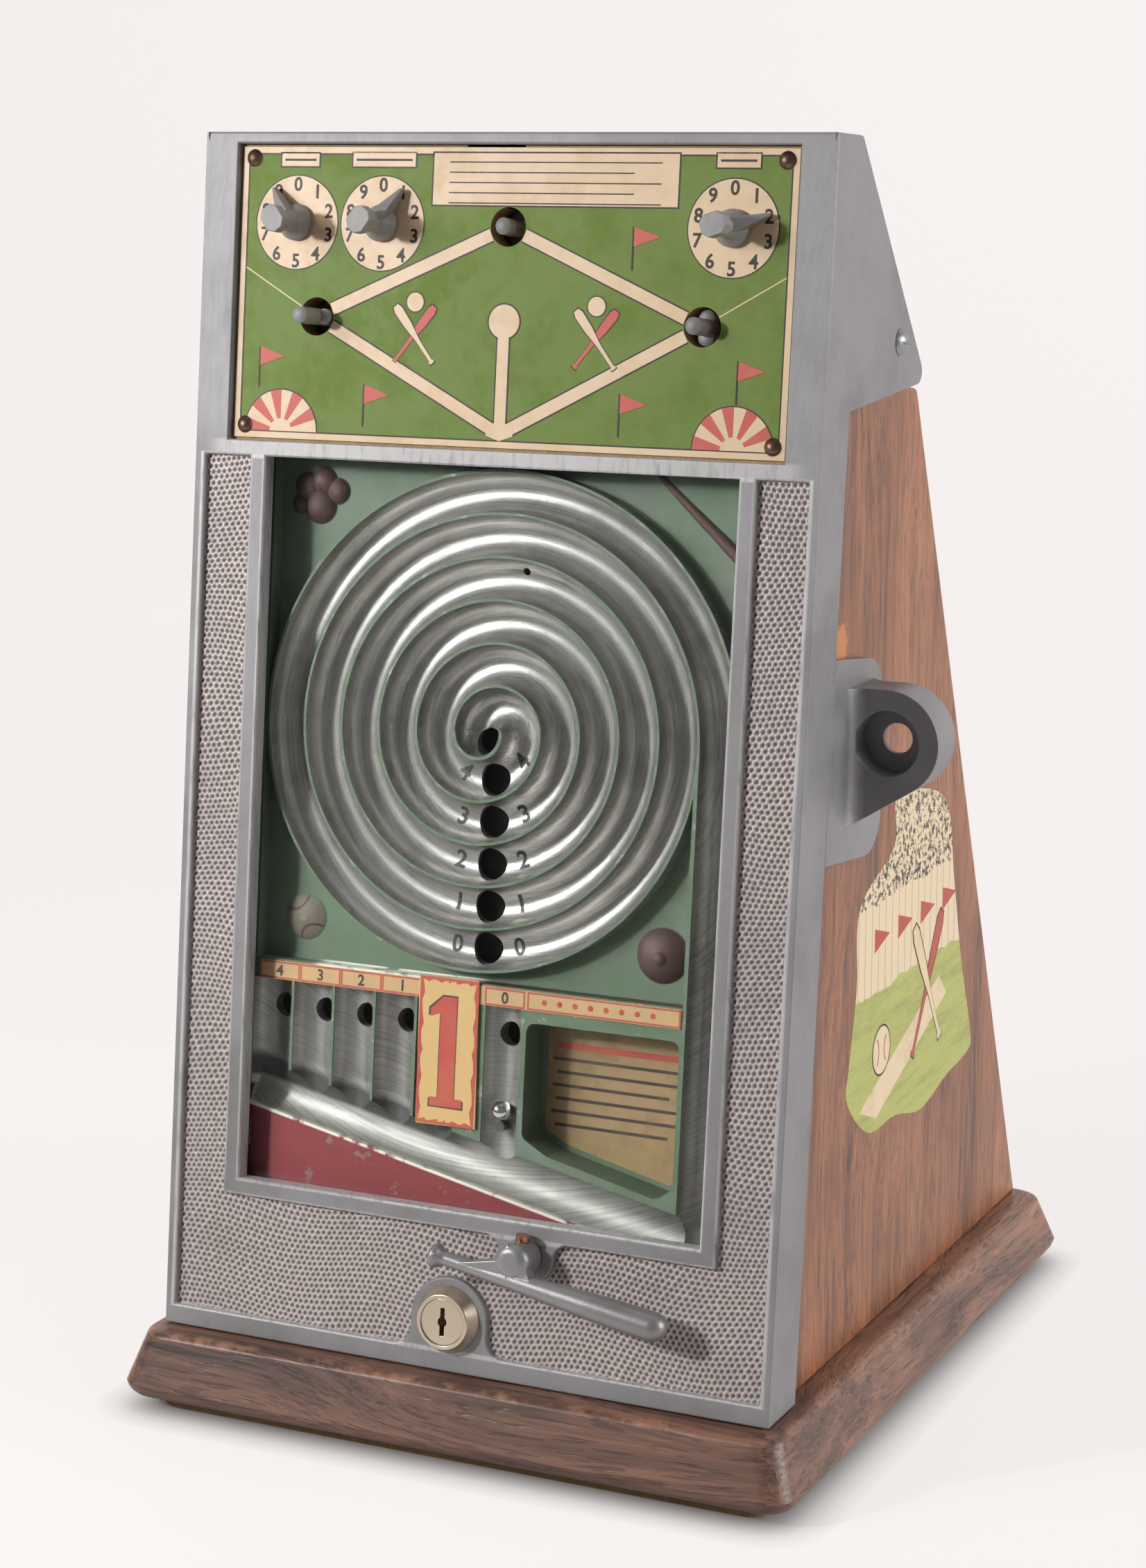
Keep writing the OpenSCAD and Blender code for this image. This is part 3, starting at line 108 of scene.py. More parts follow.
# Properties that a user would change
def colour(name, description, red, green, blue):
    """A colour property from its screen values, 0 to 255."""
    return FloatVectorProperty(
        name=name, description=description, subtype="COLOR_GAMMA", size=3, min=0, max=1,
        default=(red / 255, green / 255, blue / 255))


def length(name, description, millimetres):
    """A length property from its default in millimetres."""
    return FloatProperty(
        name=name, description=description, unit="LENGTH", default=millimetres * MM, precision=5)


def power(name, description, watts):
    """A lamp's power property."""
    return FloatProperty(name=name, description=description, unit="POWER", default=watts)


def share(name, description, value):
    """A property without a unit."""
    return FloatProperty(name=name, description=description, default=value)


class MetalLook(bpy.types.PropertyGroup):
    """Castings, plated parts and the grained panels."""
    casting: colour("Casting", "Cast aluminium of the front and the lug", 152, 150, 152)
    grime: colour("Casting grime", "Dull grey in the hollows of the casting", 118, 115, 114)
    panel: colour("Panel", "Raised net of the grained panels", 208, 197, 193)
    # Panel pits: dirt and painted shade, darker where the panels are deepest
    pit_dirt_and_shade: colour("Panel pits", "Dirt in the pits of the grained panels", 104, 96, 94)
    # Casting edges: rubbed wear with a painted highlight on the casting's arrises and the bar under the plate
    rubbed: colour("Casting edges", "Edges of the casting that are rubbed bright", 206, 203, 202)
    bat: colour("Bat", "Cast bat", 156, 154, 155)
    knob: colour("Knobs", "Die cast knobs and pegs", 152, 150, 149)
    nickel: colour("Lock", "Warm nickel plate of the lock", 208, 194, 172)
    steel: colour("Steel", "Plain steel", 150, 150, 152)
    brass: colour("Brass", "Plain brass", 188, 148, 92)
    copper: colour("Copper", "Copper washed hub screw", 168, 116, 92)
    nail: colour("Nails", "Browned heads of the plate nails", 126, 100, 88)
    rim: length("Border", "Plain border beside the grained panels", 2.8)
    foot_rim: length("Foot border", "Plain border below the grained panels", 7.1)
    bead: length("Bead", "Bead round the window", 5.6)
    glass_lap: length("Glass lap", "Lap of the glass behind the window", 1.5)
    recess: length("Recess", "Depth of the panels behind the face", 2.5)
    grain_pitch: length("Grain pitch", "Distance between pits", 2.05)
    grain_depth: length("Grain depth", "Depth of the pits", 0.7)
    grain_step: length("Grain step", "Mesh step of the panels", 0.42)
    edge: length("Edge", "Rounding of the casting's edges", 0.7)
    small_edge: length("Small edge", "Rounding of the small castings' edges", 0.4)


class WoodLook(bpy.types.PropertyGroup):
    """Stained oak outside and plain wood inside."""
    light: colour("Light grain", "Light bands of the sides", 184, 119, 78)
    middle: colour("Middle grain", "Main tone of the sides", 147, 90, 57)
    dark: colour("Dark grain", "Dark bands of the sides", 72, 43, 31)
    base_light: colour("Base light", "Light bands of the base", 176, 126, 100)
    base_middle: colour("Base middle", "Main tone of the base", 124, 88, 72)
    base_dark: colour("Base dark", "Dark bands of the base", 54, 38, 33)
    bare: colour("Bare wood", "Wood where the stain has worn off", 214, 134, 74)
    base_bare: colour("Base bare", "Rubbed arris of the base", 172, 124, 100)
    plain: colour("Plain wood", "Softwood of the back and the inside", 178, 142, 100)
    edge: length("Edge", "Rounding of the wooden edges", 1.2)


class PrintLook(bpy.types.PropertyGroup):
    """Printed plate, cards and the picture on the side."""
    green: colour("Green", "Grass of the printed plate", 108, 130, 54)
    cream: colour("Cream", "Paths, dials and borders", 222, 194, 160)
    ink: colour("Ink", "Lines and numerals", 42, 31, 27)
    red: colour("Red", "Red of the motifs", 196, 86, 76)
    yellow: colour("Yellow", "Ground of the price card", 172, 140, 92)
    # Label and slip: the yellow of the cards painted darker, as painted shade
    label: colour("Label", "Ground of the label strip", 160, 130, 92)
    slip: colour("Slip", "Ground of the card in the pocket", 132, 107, 72)
    card_red: colour("Card red", "Numeral and border of the price card", 148, 48, 36)
    picture_green: colour("Picture green", "Grass of the picture on the side", 196, 198, 108)
    picture_cream: colour("Picture cream", "Fence and paths of the picture on the side", 252, 228, 190)
    layer: length("Layer", "Thickness of one layer of print", 0.04)
    path: length("Path width", "Width of the base paths", 3.8)
    outline: length("Outline", "Width of the dark outlines", 0.5)
    dial: length("Dial radius", "Radius of the printed dials", 14.9)
    digit: length("Digit", "Height of the dial numerals", 4.3)


class FieldLook(bpy.types.PropertyGroup):
    """Cast playfield behind the glass."""
    metal: colour("Metal", "Bare metal of the grooves", 170, 167, 163)
    soot: colour("Soot", "Dark streaks in the grooves", 108, 105, 103)
    green: colour("Green", "Worn green paint", 74, 92, 70)
    brown: colour("Brown", "Paint of the corner reliefs", 64, 42, 39)
    red: colour("Red", "Paint of the panel below the ramp", 104, 28, 33)
    pale: colour("Pale", "Paint of the ball relief", 102, 94, 82)
    worn: colour("Worn", "Worn edges of the ramp and the label ledge", 196, 192, 182)
    # Trough: painted shade in the trough above the ramp, also the ink of the track numerals
    shadow: colour("Trough", "Dirt in the trough above the ramp", 34, 33, 32)
    ball: colour("Ball", "Bright steel of the ball", 205, 205, 205)


class StageLook(bpy.types.PropertyGroup):
    """Floor, lamps and world."""
    floor: colour("Floor", "Pale paper under and behind the game", 246, 241, 240)
    floor_shade: colour("Floor shade", "Grey that the floor shows to the lamps", 118, 116, 115)
    floor_glow: share("Floor glow", "Share of the floor's own white", 0.83)
    wall_glow: share("Wall glow", "Share of the backdrop's own white", 0.92)
    key: power("Key", "Power of the key lamp", 5.8)
    fill: power("Fill", "Power of the fill lamp on the left", 9)
    side: power("Side", "Power of the lamp on the right", 26)
    top: power("Top", "Power of the top lamp", 4)
    world: share("World", "Level of the surrounding white", 0.2)


LOOKS = {"metal": MetalLook, "wood": WoodLook, "prints": PrintLook, "field": FieldLook, "stage": StageLook}


def group_of(name):
    """One of the property groups of this scene."""
    return getattr(bpy.context.scene, "game_" + name)


def linear(value):
    """A colour property as the linear colour with alpha that the shader takes."""
    channels = [c / 12.92 if c <= 0.04045 else ((c + 0.055) / 1.055) ** 2.4 for c in value]
    return (*channels, 1.0)


def look(name):
    """The values of a property group, with its colours as the shader takes them."""
    group = group_of(name)
    values = {key: getattr(group, key) for key in LOOKS[name].__annotations__}
    return SimpleNamespace(**{key: linear(v) if hasattr(v, "__len__") else v for key, v in values.items()})


def darker(shade, part):
    """A part of a linear colour, with full alpha."""
    return tuple(part * channel for channel in shade[:3]) + (1.0,)


# Node helpers
def feed(tree, socket, value):
    """Links a socket into an input, or sets the input's own value."""
    if isinstance(value, bpy.types.NodeSocket):
        tree.links.new(value, socket)
    else:
        socket.default_value = value


def feed_all(tree, node, inputs):
    """Links or sets several inputs of a node."""
    for key, value in inputs.items():
        feed(tree, node.inputs[key], value)


def add(tree, kind, inputs=None, **settings):
    """Adds a shader node with its settings and inputs."""
    node = tree.nodes.new("ShaderNode" + kind)
    for key, value in settings.items():
        setattr(node, key, value)
    feed_all(tree, node, inputs or {})
    return node


def calc(tree, operation, a, b=0.0):
    """One step of arithmetic."""
    return add(tree, "Math", {0: a, 1: b}, operation=operation).outputs[0]


def plus(tree, a, b):
    """The sum of two values."""
    return calc(tree, "ADD", a, b)


def minus(tree, a, b):
    """The first value less the second."""
    return calc(tree, "SUBTRACT", a, b)


def unsigned(tree, value):
    """A value without its sign."""
    return calc(tree, "ABSOLUTE", value)


def times(tree, *values):
    """The product of several values or masks."""
    result = values[0]
    for value in values[1:]:
        result = calc(tree, "MULTIPLY", result, value)
    return result


def largest(tree, *values):
    """The greatest of several values."""
    result = values[0]
    for value in values[1:]:
        result = calc(tree, "MAXIMUM", result, value)
    return result


def step(tree, value, low, high):
    """A soft step from 0 at low to 1 at high."""
    inputs = {"Value": value, "From Min": low, "From Max": high}
    return add(tree, "MapRange", inputs, interpolation_type="SMOOTHSTEP").outputs["Result"]


def blend(tree, factor, a, b):
    """A colour mix from a to b."""
    return add(tree, "Mix", {0: factor, 6: a, 7: b}, data_type="RGBA").outputs[2]


def vector(tree, operation, a, b):
    """One step of arithmetic on vectors."""
    return add(tree, "VectorMath", {0: a, 1: b}, operation=operation).outputs[0]


def stretch(tree, place, x, y, z):
    """Coordinates scaled on each axis."""
    return vector(tree, "MULTIPLY", place, (x, y, z))


def split(tree, place):
    """The three parts of a vector."""
    return add(tree, "SeparateXYZ", {0: place}).outputs


def joined(tree, x, y, z):
    """A vector from its three parts."""
    return add(tree, "CombineXYZ", {0: x, 1: y, 2: z}).outputs[0]


def noise(tree, vector, scale, detail=3.0, roughness=0.55):
    """Cloudy values from 0 to 1."""
    inputs = {"Vector": vector, "Scale": scale, "Detail": detail, "Roughness": roughness}
    return add(tree, "TexNoise", inputs).outputs[0]


def ramp(tree, value, *stops):
    """A colour ramp through (place, colour) stops."""
    node = add(tree, "ValToRGB", {"Fac": value})
    elements = node.color_ramp.elements
    while len(elements) < len(stops):
        elements.new(0.5)
    for element, (place, shade) in zip(elements, stops):
        element.position = place
        element.color = shade
    return node.outputs["Color"]


def bump(tree, bsdf, height, distance, strength=1.0):
    """Feeds a height into the shader's normal."""
    inputs = {"Height": height, "Distance": distance, "Strength": strength}
    tree.links.new(add(tree, "Bump", inputs).outputs["Normal"], bsdf.inputs["Normal"])


def effect(name, build, outputs, **levels):
    """A node group that draws values from coordinates, built once. levels are its other inputs."""
    tree = bpy.data.node_groups.get(name)
    if tree:
        return tree
    tree = bpy.data.node_groups.new(name, "ShaderNodeTree")
    tree.interface.new_socket("Vector", in_out="INPUT", socket_type="NodeSocketVector")
    for label, default in levels.items():
        socket = tree.interface.new_socket(label, in_out="INPUT", socket_type="NodeSocketFloat")
        socket.default_value = default
    for label in outputs:
        tree.interface.new_socket(label, in_out="OUTPUT", socket_type="NodeSocketFloat")
    source = tree.nodes.new("NodeGroupInput").outputs
    sink = tree.nodes.new("NodeGroupOutput").inputs
    for label, value in build(tree, source).items():
        tree.links.new(value, sink[label])
    return tree


def use(tree, group, **inputs):
    """Places a node group and returns its outputs."""
    node = tree.nodes.new("ShaderNodeGroup")
    node.node_tree = group
    feed_all(tree, node, inputs)
    return node.outputs


PER_METRE = 1000.0


def face_effect():
    """Across, depth and height on the leaning face, in millimetres."""
    def build(tree, source):
        moved = vector(tree, "SUBTRACT", source["Vector"], (0.0, FACE_FOOT, BASE_HIGH.z))
        inputs = {"Vector": moved, "Rotation": (LEAN, 0, 0), "Scale": (PER_METRE,) * 3}
        across, depth, height = split(tree, add(tree, "Mapping", inputs).outputs[0])
        return {"Across": across, "Depth": depth, "Height": height}
    return effect("Leaning face", build, ["Across", "Depth", "Height"])


def blotch_effect():
    """Soft irregular patches of stain, grime or wear."""
    def build(tree, source):
        wide = noise(tree, source["Vector"], source["Scale"], 4.0, 0.6)
        close = noise(tree, source["Vector"], times(tree, source["Scale"], 5.3), 3.0, 0.6)
        patches = plus(tree, times(tree, wide, 0.68), times(tree, close, 0.32))
        return {"Mask": step(tree, patches, source["Low"], source["High"])}
    return effect("Blotches", build, ["Mask"], Scale=40.0, Low=0.45, High=0.65)


def blotches(tree, place, scale, low, high):
    """Mask of soft patches, where the values pass from low to high."""
    return use(tree, blotch_effect(), Vector=place, Scale=scale, Low=low, High=high)["Mask"]


def cast_effect():
    """Sand cast skin, dulled by handling: cloudy tone, sandy height and brushed streaks."""
    def build(tree, source):
        clouds = noise(tree, source["Vector"], 22.0, 4.0, 0.6)
        sand = noise(tree, source["Vector"], 1500.0, 2.0, 0.6)
        brushed = noise(tree, stretch(tree, source["Vector"], 500.0, 500.0, 60.0), 1.0, 3.0, 0.6)
        return {"Tone": step(tree, clouds, 0.1, 0.62), "Height": sand, "Brushed": brushed}
    return effect("Cast skin", build, ["Tone", "Height", "Brushed"])


def grain_effect():
    """Oak grain that runs along Z: tone of the bands, dark pores and height."""
    def build(tree, source):
        drift = noise(tree, stretch(tree, source["Vector"], 14.0, 14.0, 5.0), 1.0, 2.0, 0.5)
        shift = times(tree, drift, 0.05)
        moved = vector(tree, "ADD", source["Vector"], joined(tree, shift, shift, 0.0))

        def streaks(across, along, detail, roughness):
            return noise(tree, stretch(tree, moved, across, across, along), 1.0, detail, roughness)

        bands = times(tree, streaks(230.0, 7.0, 4.0, 0.6), 0.46)
        wide = times(tree, streaks(42.0, 6.0, 2.0, 0.5), 0.32)
        fibre = streaks(1500.0, 26.0, 2.0, 0.6)
        tone = plus(tree, plus(tree, bands, wide), times(tree, fibre, 0.22))
        pores = step(tree, streaks(1150.0, 62.0, 1.0, 0.4), 0.57, 0.67)
        return {"Tone": tone, "Pores": pores, "Height": minus(tree, times(tree, fibre, 0.4), pores)}
    return effect("Oak grain", build, ["Tone", "Pores", "Height"])


# Finishes
def finish(name):
    """A new material with its tree, its shader and its own coordinates."""
    material = bpy.data.materials.new(name)
    material.use_nodes = True
    tree = material.node_tree
    return material, tree, tree.nodes["Principled BSDF"], add(tree, "TexCoord").outputs["Object"]


def cast_metal(name, shade, roughness, metallic=0.5, rubbed=None):
    """Dull cast metal with cloudy grime and a sandy skin. rubbed draws the mask of worn edges, which are painted
    bright as a highlight.
    """
    tint = look("metal")
    material, tree, bsdf, place = finish(name)
    skin = use(tree, cast_effect(), Vector=place)
    mixed = blend(tree, skin["Tone"], tint.grime, shade)
    dulled = blend(tree, times(tree, blotches(tree, place, 70.0, 0.52, 0.74), 0.3), mixed, tint.grime)
    if rubbed:
        # worn edges painted bright: wear and a painted highlight
        worn = times(tree, rubbed(tree, place), step(tree, skin["Brushed"], 0.2, 0.55))
        dulled = blend(tree, worn, dulled, tint.rubbed)
    polish = plus(tree, times(tree, skin["Brushed"], 0.12), roughness - 0.06)
    feed_all(tree, bsdf, {"Base Color": dulled, "Metallic": metallic, "Roughness": polish})
    bump(tree, bsdf, skin["Height"], 0.0001, 0.4)
    return material


def window_opening(tint):
    """Half width, foot and top of the window in front of the glass, in millimetres."""
    lap = tint.glass_lap / MM
    return GLASS_HIGH.x - lap, GLASS_LOW.z + lap, GLASS_HIGH.z - lap


def panel_half(tint):
    """Half width over the grained panels, in millimetres."""
    return -CASTING_LOW.x - tint.rim / MM


def frame_line(tree, across, height, half, low, high, width):
    """Mask of a line along the outline of an upright box on the face."""
    beside = minus(tree, unsigned(tree, across), half)
    ends = largest(tree, minus(tree, low, height), minus(tree, height, high))
    off = unsigned(tree, largest(tree, beside, ends))
    return step(tree, off, width, 0.35 * width)


def rubbed_edge_highlights(tree, place):
    """Mask of the arrises of the window, its bead and the panels, and of the bar under the plate: rubbed wear with
    a painted highlight.
    """
    tint = look("metal")
    face = use(tree, face_effect(), Vector=place)
    across, height = face["Across"], face["Height"]
    half, low, high = window_opening(tint)
    panel, bead = panel_half(tint), tint.bead / MM
    window = frame_line(tree, across, height, half, low, high, 1.3)
    around = frame_line(tree, across, height, half + bead, low - bead, high, 1.1)
    outer = frame_line(tree, across, height, panel, tint.foot_rim / MM, high, 1.1)
    bar = times(
        tree, step(tree, height, high, high + 1.0), step(tree, height, PLATE_LOW.z, PLATE_LOW.z - 1.5),
        step(tree, unsigned(tree, across), panel, panel - 9.0))
    return largest(tree, times(tree, largest(tree, window, around, outer), 0.75), times(tree, bar, 0.5))


def plated_metal(name, shade, roughness, tarnish):
    """Smooth plated metal with a little tarnish."""
    material, tree, bsdf, place = finish(name)
    stain = blotches(tree, place, 160.0, 0.45, 0.7)
    tarnished = blend(tree, times(tree, stain, tarnish), shade, darker(shade, 0.45))
    polish = plus(tree, times(tree, stain, 0.15), roughness)
    feed_all(tree, bsdf, {"Base Color": tarnished, "Metallic": 1.0, "Roughness": polish})
    return material


def panel_metal():
    """Grained panel: bright raised net, dirt and painted shade in the pits."""
    tint = look("metal")
    material, tree, bsdf, place = finish("grained_panel")
    deep = tint.recess / MM
    # darker where the panel is deepest: dirt and painted shade in the pits
    pit = step(tree, use(tree, face_effect(), Vector=place)["Depth"], deep - 0.6, deep - 0.1)
    stain = times(tree, blotches(tree, place, 26.0, 0.4, 0.75), 0.35)
    shade = blend(tree, pit, blend(tree, stain, tint.panel, tint.grime), tint.pit_dirt_and_shade)
    polish = plus(tree, times(tree, pit, 0.2), 0.52)
    feed_all(tree, bsdf, {"Base Color": shade, "Metallic": 0.35, "Roughness": polish})
    return material


# Painted shade on the wood next to the casting: where it starts and how far it spreads
CASTING_SHADE_DEPTH = 30.0
CASTING_SHADE_SPREAD = 11.0


def oak(name, light, middle, dark, bare, along, worn):
    """Stained oak, bare where worn, with painted shade next to the casting. along turns the coordinates so that
    the grain runs on Z.
    """
    material, tree, bsdf, place = finish(name)
    grain = use(tree, grain_effect(), Vector=along(tree, place))
    body = ramp(tree, grain["Tone"], (0.34, dark), (0.47, middle), (0.63, light))
    pored = blend(tree, times(tree, grain["Pores"], 0.55), body, dark)
    handled = times(tree, blotches(tree, place, 16.0, 0.48, 0.75), 0.45)
    behind = use(tree, face_effect(), Vector=place)["Depth"]
    # painted shade on the wood in front of this depth, next to the casting
    joint = times(tree, step(tree, behind, CASTING_SHADE_DEPTH + CASTING_SHADE_SPREAD, CASTING_SHADE_DEPTH), 0.34)
    shaded = blend(tree, largest(tree, handled, joint), pored, dark)
    feed_all(tree, bsdf, {
        "Base Color": blend(tree, worn(tree, place), shaded, bare),
        "Roughness": plus(tree, times(tree, grain["Tone"], -0.25), 0.58),
        "Coat Weight": 0.18,
        "Coat Roughness": 0.3,
    })
    bump(tree, bsdf, grain["Height"], 0.00015, 0.7)
    return material


def along_height(tree, place):
    """Upright grain."""
    return place


def along_moulding(tree, place):
    """Grain along each of the four mitred lengths of the base."""
    x, y, z = split(tree, place)
    from_side = minus(tree, BASE_HIGH.x, unsigned(tree, x))
    from_end = calc(tree, "MINIMUM", minus(tree, y, BASE_LOW.y), minus(tree, BASE_HIGH.y, y))
    on_end = calc(tree, "LESS_THAN", from_end, from_side)
    inputs = {0: on_end, 4: joined(tree, z, x, y), 5: joined(tree, z, y, x)}
    return add(tree, "Mix", inputs, data_type="VECTOR").outputs[1]


# Chip in the stain beside the lug, in metres
CHIP = Vector((WOOD_X, -0.064, 0.258))
CHIP_SIZE = 0.0105


def worn_side(tree, place):
    """A chip beside the lug where the stain is gone."""
    away = stretch(tree, vector(tree, "SUBTRACT", place, CHIP), 1.0, 1.1, 1.0)
    flat = add(tree, "VectorMath", {0: away}, operation="LENGTH").outputs["Value"]
    ragged = plus(tree, flat, times(tree, noise(tree, place, 520.0), 0.009))
    return times(tree, step(tree, ragged, CHIP_SIZE + 0.0015, CHIP_SIZE - 0.001), 0.85)


# How far the worn arris of the base lies below its top, in metres
ARRIS_FALL = 0.0015


def worn_base(tree, place):
    """Pale wear along the upper arris of the base."""
    off = unsigned(tree, minus(tree, split(tree, place)[2], BASE_HIGH.z - ARRIS_FALL))
    return times(tree, step(tree, off, 0.0016, 0.0002), blotches(tree, place, 60.0, 0.47, 0.62), 0.7)


def plain_wood():
    """Unfinished softwood of the back and the inside."""
    shade = look("wood").plain
    dark = darker(shade, 0.6)
    material, tree, bsdf, place = finish("plain_wood")
    grain = use(tree, grain_effect(), Vector=place)
    body = ramp(tree, grain["Tone"], (0.32, dark), (0.6, shade))
    pored = blend(tree, times(tree, grain["Pores"], 0.3), body, dark)
    feed_all(tree, bsdf, {"Base Color": pored, "Roughness": 0.7})
    bump(tree, bsdf, grain["Height"], 0.00012, 0.5)
    return material


def paint(name, shade, stain, amount=0.35, roughness=0.5, scale=60.0):
    """Aged print or paint with soft stains and small specks."""
    material, tree, bsdf, place = finish(name)
    soft = blotches(tree, place, scale, 0.42, 0.7)
    specks = times(tree, blotches(tree, place, scale * 9, 0.66, 0.74), 0.5)
    aged = blend(tree, times(tree, soft, amount), shade, stain)
    polish = plus(tree, times(tree, soft, 0.15), roughness)
    feed_all(tree, bsdf, {"Base Color": blend(tree, specks, aged, stain), "Roughness": polish})
    return material


def sheet_black():
    """Black painted sheet with rubbed edges."""
    return paint("black_sheet", (0.02, 0.02, 0.022, 1.0), (0.1, 0.09, 0.085, 1.0), 0.5, 0.45)


def clear_glass():
    """Clear sheet glass that lets the lamps through."""
    material, tree, bsdf, place = finish("window_glass")
    smears = times(tree, blotches(tree, place, 22.0, 0.5, 0.8), 0.05)
    body = {"Base Color": (0.97, 0.99, 0.98, 1.0), "Transmission Weight": 1.0, "IOR": 1.2}
    feed_all(tree, bsdf, {**body, "Roughness": smears})
    clear = add(tree, "BsdfTransparent", {"Color": (0.94, 0.96, 0.95, 1.0)})
    path = add(tree, "LightPath").outputs["Is Shadow Ray"]
    mixed = add(tree, "MixShader", {0: path, 1: bsdf.outputs[0], 2: clear.outputs[0]})
    tree.links.new(mixed.outputs[0], tree.nodes["Material Output"].inputs["Surface"])
    return material


# Places on the playfield, in millimetres on the face: the ramp and the pocket beside it
RAMP_HEIGHT = 66.0
RAMP_SLOPE = math.tan(math.radians(11.6))
RAMP_LIP = 7.6
RED_RIGHT = 60.0
POCKET_LEFT = 14.8
POCKET_RIGHT = 67.8
POCKET_TOP = 113.4
POCKET_OVER_RAMP = 7.4

# The spiral, and its rim, outside which the corners are sunk
SPIRAL_HEIGHT = 202.4
CREST_DEPTH = LABEL_HIGH.y
SUNK = 6.0
SUNK_FOOT = 123.6
SUNK_RIGHT = 67.7
RIM_UPPER = 82.45
RIM_LOWER = 75.75
RIM_SHIFT = 6.7
PIN_HOLE = (4.3, 253.3)

# Numerals beside the holes of the spiral
FIRST_TURN = 15.0
TURN_PITCH = 13.4
NUMERAL_ARC = 11.0
NUMERAL_HEIGHT = 5.6
NUMERAL_THICK = 0.06

# Painted reliefs in the sunk corners, and the seams of the ball among them
RELIEF_LIMIT = 82.0
RELIEF_INSET = 1.2
BALL_RELIEF = (-68.5, 137.5)
BALL_CORNER = (-50.0, 160.0)
SEAM_LEAN = (0.5, 0.87)
SEAM_AWAY = 8.6
SEAM_RADIUS = 5.4


def distance(tree, x, y):
    """Length of two sides at a right angle."""
    return calc(tree, "SQRT", plus(tree, times(tree, x, x), times(tree, y, y)))


def corners(tree, across, height, inset):
    """Mask of the sunk corners outside the rim of the spiral, drawn back from the rim by an inset."""
    radial = minus(tree, height, SPIRAL_HEIGHT)
    upper = calc(tree, "GREATER_THAN", height, SPIRAL_HEIGHT)
    wide = step(tree, distance(tree, across, radial), RIM_UPPER + inset - 0.1, RIM_UPPER + inset + 0.1)
    moved = plus(tree, across, RIM_SHIFT)
    tight = step(tree, distance(tree, moved, radial), RIM_LOWER + inset - 0.1, RIM_LOWER + inset + 0.1)
    lower = times(
        tree, minus(tree, 1.0, upper), tight, step(tree, height, SUNK_FOOT - 0.2, SUNK_FOOT),
        step(tree, across, SUNK_RIGHT, SUNK_RIGHT - 0.2))
    return plus(tree, times(tree, upper, wide), lower)


def groove_streaks(tree, across, height):
    """Streaks that run round with the grooves of the spiral."""
    radial = minus(tree, height, SPIRAL_HEIGHT)
    turn = times(tree, calc(tree, "ARCTAN2", radial, across), 1.2)
    return noise(tree, joined(tree, distance(tree, across, radial), turn, 0.0), 1.6, 4.0, 0.65)


def crest_paint(tree, place, depth):
    """Mask of the chipped paint on the crests."""
    ragged = times(tree, minus(tree, noise(tree, place, 300.0), 0.5), 0.5)
    on_crest = step(tree, plus(tree, depth, ragged), CREST_DEPTH + 0.6, CREST_DEPTH + 0.2)
    chipped = times(tree, blotches(tree, place, 120.0, 0.58, 0.64), 0.45)
    return times(tree, on_crest, minus(tree, 1.0, chipped))


def pocket_paint(tree, across, height, above):
    """Mask of the painted pocket for the instruction card."""
    return times(
        tree, step(tree, across, POCKET_LEFT - 0.3, POCKET_LEFT),
        step(tree, across, POCKET_RIGHT, POCKET_RIGHT - 0.3),
        step(tree, height, POCKET_TOP, POCKET_TOP - 0.4),
        step(tree, above, POCKET_OVER_RAMP, POCKET_OVER_RAMP + 0.6))


def trough_shade_and_smear(tree, across, height, above):
    """Mask of the painted shade in the trough above the ramp, and of the smear beside the pin hole."""
    trough = times(
        tree, step(tree, above, 0.6, 2.4), step(tree, above, 11.0, 7.0), step(tree, across, 2.0, -12.0))
    beside = minus(tree, PIN_HOLE[0], across)
    off = unsigned(tree, minus(tree, height, PIN_HOLE[1]))
    smear = times(
        tree, step(tree, beside, 0.0, 1.0), step(tree, beside, 9.0, 3.0), step(tree, off, 1.1, 0.3))
    return largest(tree, trough, times(tree, smear, 0.7))


def field_wear(tree, place, across, height, above):
    """Mask of the worn lip of the ramp and the worn ledge over the label strip."""
    off = unsigned(tree, plus(tree, above, RAMP_LIP))
    lip = times(tree, step(tree, off, 0.9, 0.4), step(tree, across, 60.0, 40.0))
    ledge = times(
        tree, step(tree, height, LABEL_HIGH.z - 0.2, LABEL_HIGH.z),
        step(tree, height, LABEL_HIGH.z + 1.3, LABEL_HIGH.z + 0.8),
        step(tree, across, -64.0, -58.0), step(tree, across, 0.0, -6.0))
    return times(tree, largest(tree, lip, ledge), step(tree, noise(tree, place, 180.0), 0.36, 0.5))


def relief_paint(tree, across, height, tint):
    """Brown paint of the reliefs, and the pale ball with its two seams."""
    beside, over = minus(tree, across, BALL_RELIEF[0]), minus(tree, height, BALL_RELIEF[1])
    tilted = minus(tree, times(tree, beside, SEAM_LEAN[0]), times(tree, over, SEAM_LEAN[1]))
    crossed = plus(tree, times(tree, beside, SEAM_LEAN[1]), times(tree, over, SEAM_LEAN[0]))
    bowed = minus(tree, SEAM_AWAY, unsigned(tree, tilted))
    off = minus(tree, distance(tree, bowed, crossed), SEAM_RADIUS)
    leather = blend(tree, step(tree, unsigned(tree, off), 0.5, 0.25), tint.pale, tint.brown)
    left, top = BALL_CORNER
    ball = times(tree, step(tree, across, left, left - 2.0), step(tree, height, top, top - 2.0))
    return blend(tree, ball, tint.brown, leather)


